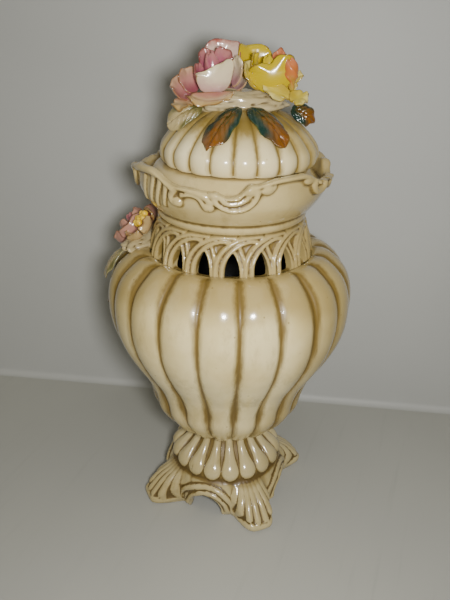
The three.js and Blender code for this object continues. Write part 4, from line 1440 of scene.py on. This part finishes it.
lastSeed = placeBlades(lidBlades, 1.0, "lid", lidPlace)
for node, (material, form) in lidBuds.items():
    flowerPiece(node, budMesh(node, form), material, "lid", lidPlace)
flowerPiece("bouquet_base", moundMesh("bouquetBase", bouquetBase), "clayGlaze", "lid", lidPlace)
print("lid flowers made")


# The spray on the shoulder
frontRose = {"root": (-1, -66, 200), "axis": (0, -0.72, 0.69)}
openFlower = {"root": (15.5, -56, 208.5), "axis": (0.45, -0.6, 0.66)}

frontBlades = {}
for i, angle in enumerate((80, 200, 320)):
    spots = onFlower(frontRose, angle, rootRadius=5.8, tipRadius=8.5, rise=17)
    frontBlades[f"front_rose_inner_{i + 1}"] = ("pinkGlaze", *spots, 13, innerPetal)
for i, angle in enumerate((20, 92, 164, 236, 308)):
    spots = onFlower(frontRose, angle, rootRadius=8.5, tipRadius=18, rise=12)
    frontBlades[f"front_rose_outer_{i + 1}"] = ("pinkGlaze", *spots, 22, outerPetal)
for i in range(5):
    spots = onFlower(openFlower, 72 * i - 14, rootRadius=6.8, tipRadius=11.5, rise=9)
    frontBlades[f"open_flower_petal_{i + 1}"] = ("blushGlaze", *spots, 13, openPetal)

frontLeaves = {
    "front_leaf_right": ("oliveLeafGlaze", (27, -67, 197), (31, -81, 177), (0.4, -0.8, 0.4), 17, leaf),
    "front_leaf_low_right": ("leafGlaze", (9, -79, 190), (19, -85.8, 152), (0.2, -1, 0.2), 17, hangingLeaf),
    "front_leaf_low_left": ("leafGlaze", (-17, -77, 190), (-27, -84, 158), (-0.2, -1, 0.2), 17, hangingLeaf),
    "front_leaf_left": ("leafGlaze", (-34, -66, 196), (-54, -70, 176), (-0.6, -0.7, 0.4), 16, leaf),
}

frontBuds = {
    "front_rose_heart": ("roseGlaze", {**frontRose, "length": 17, "radius": 5.6, "lap": 0.22}),
    "front_bud": ("orangeGlaze", {
        "root": (-33, -58, 203), "axis": (-0.6, -0.45, 0.6), "length": 18, "radius": 5.2,
    }),
}

sprayBase = {"centre": (0, -59, 199), "radii": (34, 13, 8), "seed": 9.0}

placeBlades({**frontBlades, **frontLeaves}, lastSeed, "vase")
for node, (material, form) in frontBuds.items():
    flowerPiece(node, budMesh(node, form), material, "vase")
flowerPiece("spray_base", moundMesh("sprayBase", sprayBase), "clayGlaze", "vase")

# "tree" sets the node group's inputs, in metres. "cup" is shares of the cup's radius, and heights in
# millimetres
stamens = {
    "tree": {
        "Count": 6, "Ring Radius": 0.0043, "Anther Radius": 0.0022, "Anther Length": 0.0028, "Lift": 0.0034,
        "Cup Material": glaze["maroonGlaze"], "Anther Material": glaze["antherGlaze"],
    },
    "root": (17, -56, 214.6), "cupRadius": 7, "stepsRound": 48, "stepsAlong": 40,
    "cup": [(0, -3), (0.6, -3), (0.95, 0.5), (1, 2.6), (0.86, 2.7), (0.7, 0.6), (0, 0)],
}


# Anthers on a ring and three in its middle, each leaning its own way, over the cup
def makeStamenTree():
    tree, given, out = nodeGroup("stamenRing", "GeometryNodeTree", {
        "Geometry": "Geometry", "Count": 7, "Ring Radius": 0.0034, "Anther Radius": 0.0015,
        "Anther Length": 0.0026, "Lift": 0.0024, "Seed": 2, "Cup Material": "Material",
        "Anther Material": "Material",
    }, {"Geometry": "Geometry"})

    def together(first, second):
        both = placed(tree, "GeometryNodeJoinGeometry")
        plug(both.inputs[0], first)
        plug(both.inputs[0], second)
        return Wire(tree, both.outputs[0])

    ring = wired(tree, "GeometryNodeMeshCircle", {"Vertices": given["Count"], "Radius": given["Ring Radius"]})
    middle = wired(tree, "GeometryNodeMeshCircle", {"Vertices": 3, "Radius": given["Ring Radius"] * 0.34})
    ball = wired(tree, "GeometryNodeMeshUVSphere", {"Segments": 20, "Rings": 14, "Radius": 1.0})
    size = joined(given["Anther Radius"], given["Anther Radius"], given["Anther Length"])
    lean = wired(
        tree, "FunctionNodeRandomValue", {0: (-0.35, -0.35, 0), 1: (0.35, 0.35, 3), "Seed": given["Seed"]},
        data_type="FLOAT_VECTOR",
    )
    lift = wired(tree, "ShaderNodeCombineXYZ", {2: given["Lift"]})
    points = wired(tree, "GeometryNodeSetPosition", {"Geometry": together(ring, middle), "Offset": lift})
    sockets = {"Points": points, "Instance": ball, "Rotation": lean, "Scale": size}
    anthers = wired(tree, "GeometryNodeInstanceOnPoints", sockets)
    anthers = wired(tree, "GeometryNodeRealizeInstances", {"Geometry": anthers})
    anthers = wired(tree, "GeometryNodeSetShadeSmooth", {"Geometry": anthers})
    sockets = {"Geometry": anthers, "Material": given["Anther Material"]}
    anthers = wired(tree, "GeometryNodeSetMaterial", sockets)
    sockets = {"Geometry": given["Geometry"], "Material": given["Cup Material"]}
    cup = wired(tree, "GeometryNodeSetMaterial", sockets)
    plug(out[0], together(cup, anthers))
    return tree


def makeStamens(values):
    rows, columns = values["stepsRound"], values["stepsAlong"]
    line = evenly(roundedLine([(values["cupRadius"] * r, h, 0) for r, h in values["cup"]]), columns)
    angle = np.linspace(0, 2 * math.pi, rows, endpoint=False)[:, None]
    r, h = line[None, :, 0], line[None, :, 1]
    points = np.stack([r * np.cos(angle), r * np.sin(angle), np.repeat(h, rows, axis=0)], axis=2)
    piece = gridPiece("openFlowerStamens", points.reshape(-1, 3), rows, columns)
    modifier = piece.modifiers.new("stamens", "NODES")
    modifier.node_group = makeStamenTree()
    setInputs(modifier, modifier.node_group, values["tree"])
    settled(piece)
    turn = Vector((0, 0, 1)).rotation_difference(Vector(unit(openFlower["axis"]))).to_matrix().to_4x4()
    piece.data.transform(Matrix.Translation(Vector(values["root"]) * 0.001) @ turn)
    finished(piece, "vase", None, "stamen_glaze", "open_flower_stamens")


makeStamens(stamens)
print("front spray made")


# "viewFrom" is the photograph's azimuth and "skew" is how far the wall is turned from it, in degrees. Lengths
# are in metres. The lights' tones are the flash's, nearly white, and the room's
studio = {
    "floorTone": (0.40, 0.40, 0.36), "wallTone": (0.44, 0.445, 0.42), "reach": 5.0, "wallHeight": 2.2,
    "viewFrom": 19.6, "wallAway": 0.122, "skew": 6.2, "cove": 0.006, "target": (0, 0, 0.17),
    "flash": (1, 0.99, 0.98), "room": (1, 0.96, 0.8), "worldTone": (1, 0.95, 0.78), "world": 0.16,
    "lights": {
        "keyLight": {"place": (0.368, 0.168, 0.345), "size": 0.06, "power": 2.4, "tone": "flash"},
        "fillLight": {"place": (0.5, -0.9, 0.9), "size": 0.9, "power": 1.2, "tone": "room"},
        "topLight": {"place": (0.1, 0.2, 1.3), "size": 1.0, "power": 1.4, "tone": "room"},
    },
}


def studioMaterial(name, tone, streaks):
    material, shader, place = newMaterial(name, coat=0.0)
    drift = stepped(noisy(place, scale=3.0, detail=3), 0.3, 0.7)
    grain = stepped(noisy(place, scale=120, detail=4, rough=0.6, stretch=(0.06, 1, 1)), 0.55, 0.8)
    tint = mixed(drift, tone, tuple(c * 0.9 for c in tone))
    plug(shader.inputs["Base Color"], mixed(grain * streaks, tint, tuple(c * 0.75 for c in tone)))
    plug(shader.inputs["Roughness"], 0.55)
    return material


# Seen from behind, the wall lets the view through, so that it hides the vase from no side
def openBehind(material):
    tree = material.node_tree
    surface = wired(tree, "ShaderNodeMixShader", {
        0: wired(tree, "ShaderNodeNewGeometry", output="Backfacing"),
        1: Wire(tree, tree.nodes["Principled BSDF"].outputs[0]), 2: wired(tree, "ShaderNodeBsdfTransparent"),
    })
    plug(tree.nodes["Material Output"].inputs["Surface"], surface)
    return material


# A sheet along a line of places: how far forward and how high each lies
def strip(name, line, forward, reach, material):
    right = Vector((forward.y, -forward.x, 0))
    points = [
        tuple(forward * d + right * side + Vector((0, 0, h))) for side in (-reach, reach) for d, h in line
    ]
    n = len(line)
    mesh = bpy.data.meshes.new(name)
    mesh.from_pydata(points, [], [(i, n + i, n + i + 1, i + 1) for i in range(n - 1)])
    mesh.shade_smooth()
    mesh.materials.append(material)
    objectOf(name, mesh)


def makeStudio(values):
    away, cove, reach, tall = values["wallAway"], values["cove"], values["reach"], values["wallHeight"]
    facing = math.radians(180 + values["viewFrom"] - values["skew"])
    forward = Vector((math.cos(facing), math.sin(facing), 0))
    floor = studioMaterial("paleFloor", values["floorTone"], 0.4)
    strip("floor", [(-reach, 0), (reach, 0)], forward, reach, floor)
    turns = np.linspace(0, math.pi / 2, 8)
    line = [(away - cove + cove * math.sin(a), cove - cove * math.cos(a)) for a in turns] + [(away, tall)]
    strip("wall", line, forward, tall, openBehind(studioMaterial("paleWall", values["wallTone"], 0.0)))


def makeLights(values):
    for name, settings in values["lights"].items():
        data = bpy.data.lights.new(name, "AREA")
        data.shape = "DISK"
        data.size = settings["size"]
        data.energy = settings["power"]
        data.color = values[settings["tone"]]
        light = bpy.data.objects.new(name, data)
        light.location = settings["place"]
        towards = Vector(values["target"]) - Vector(settings["place"])
        light.rotation_euler = towards.to_track_quat("-Z", "Y").to_euler()
        bpy.context.scene.collection.objects.link(light)
    world = bpy.data.worlds.new("studioWorld")
    bpy.context.scene.world = world
    world.use_nodes = True
    shade = world.node_tree.nodes["Background"]
    plug(shade.inputs["Color"], values["worldTone"])
    plug(shade.inputs["Strength"], values["world"])


makeStudio(studio)
makeLights(studio)
print("studio made")
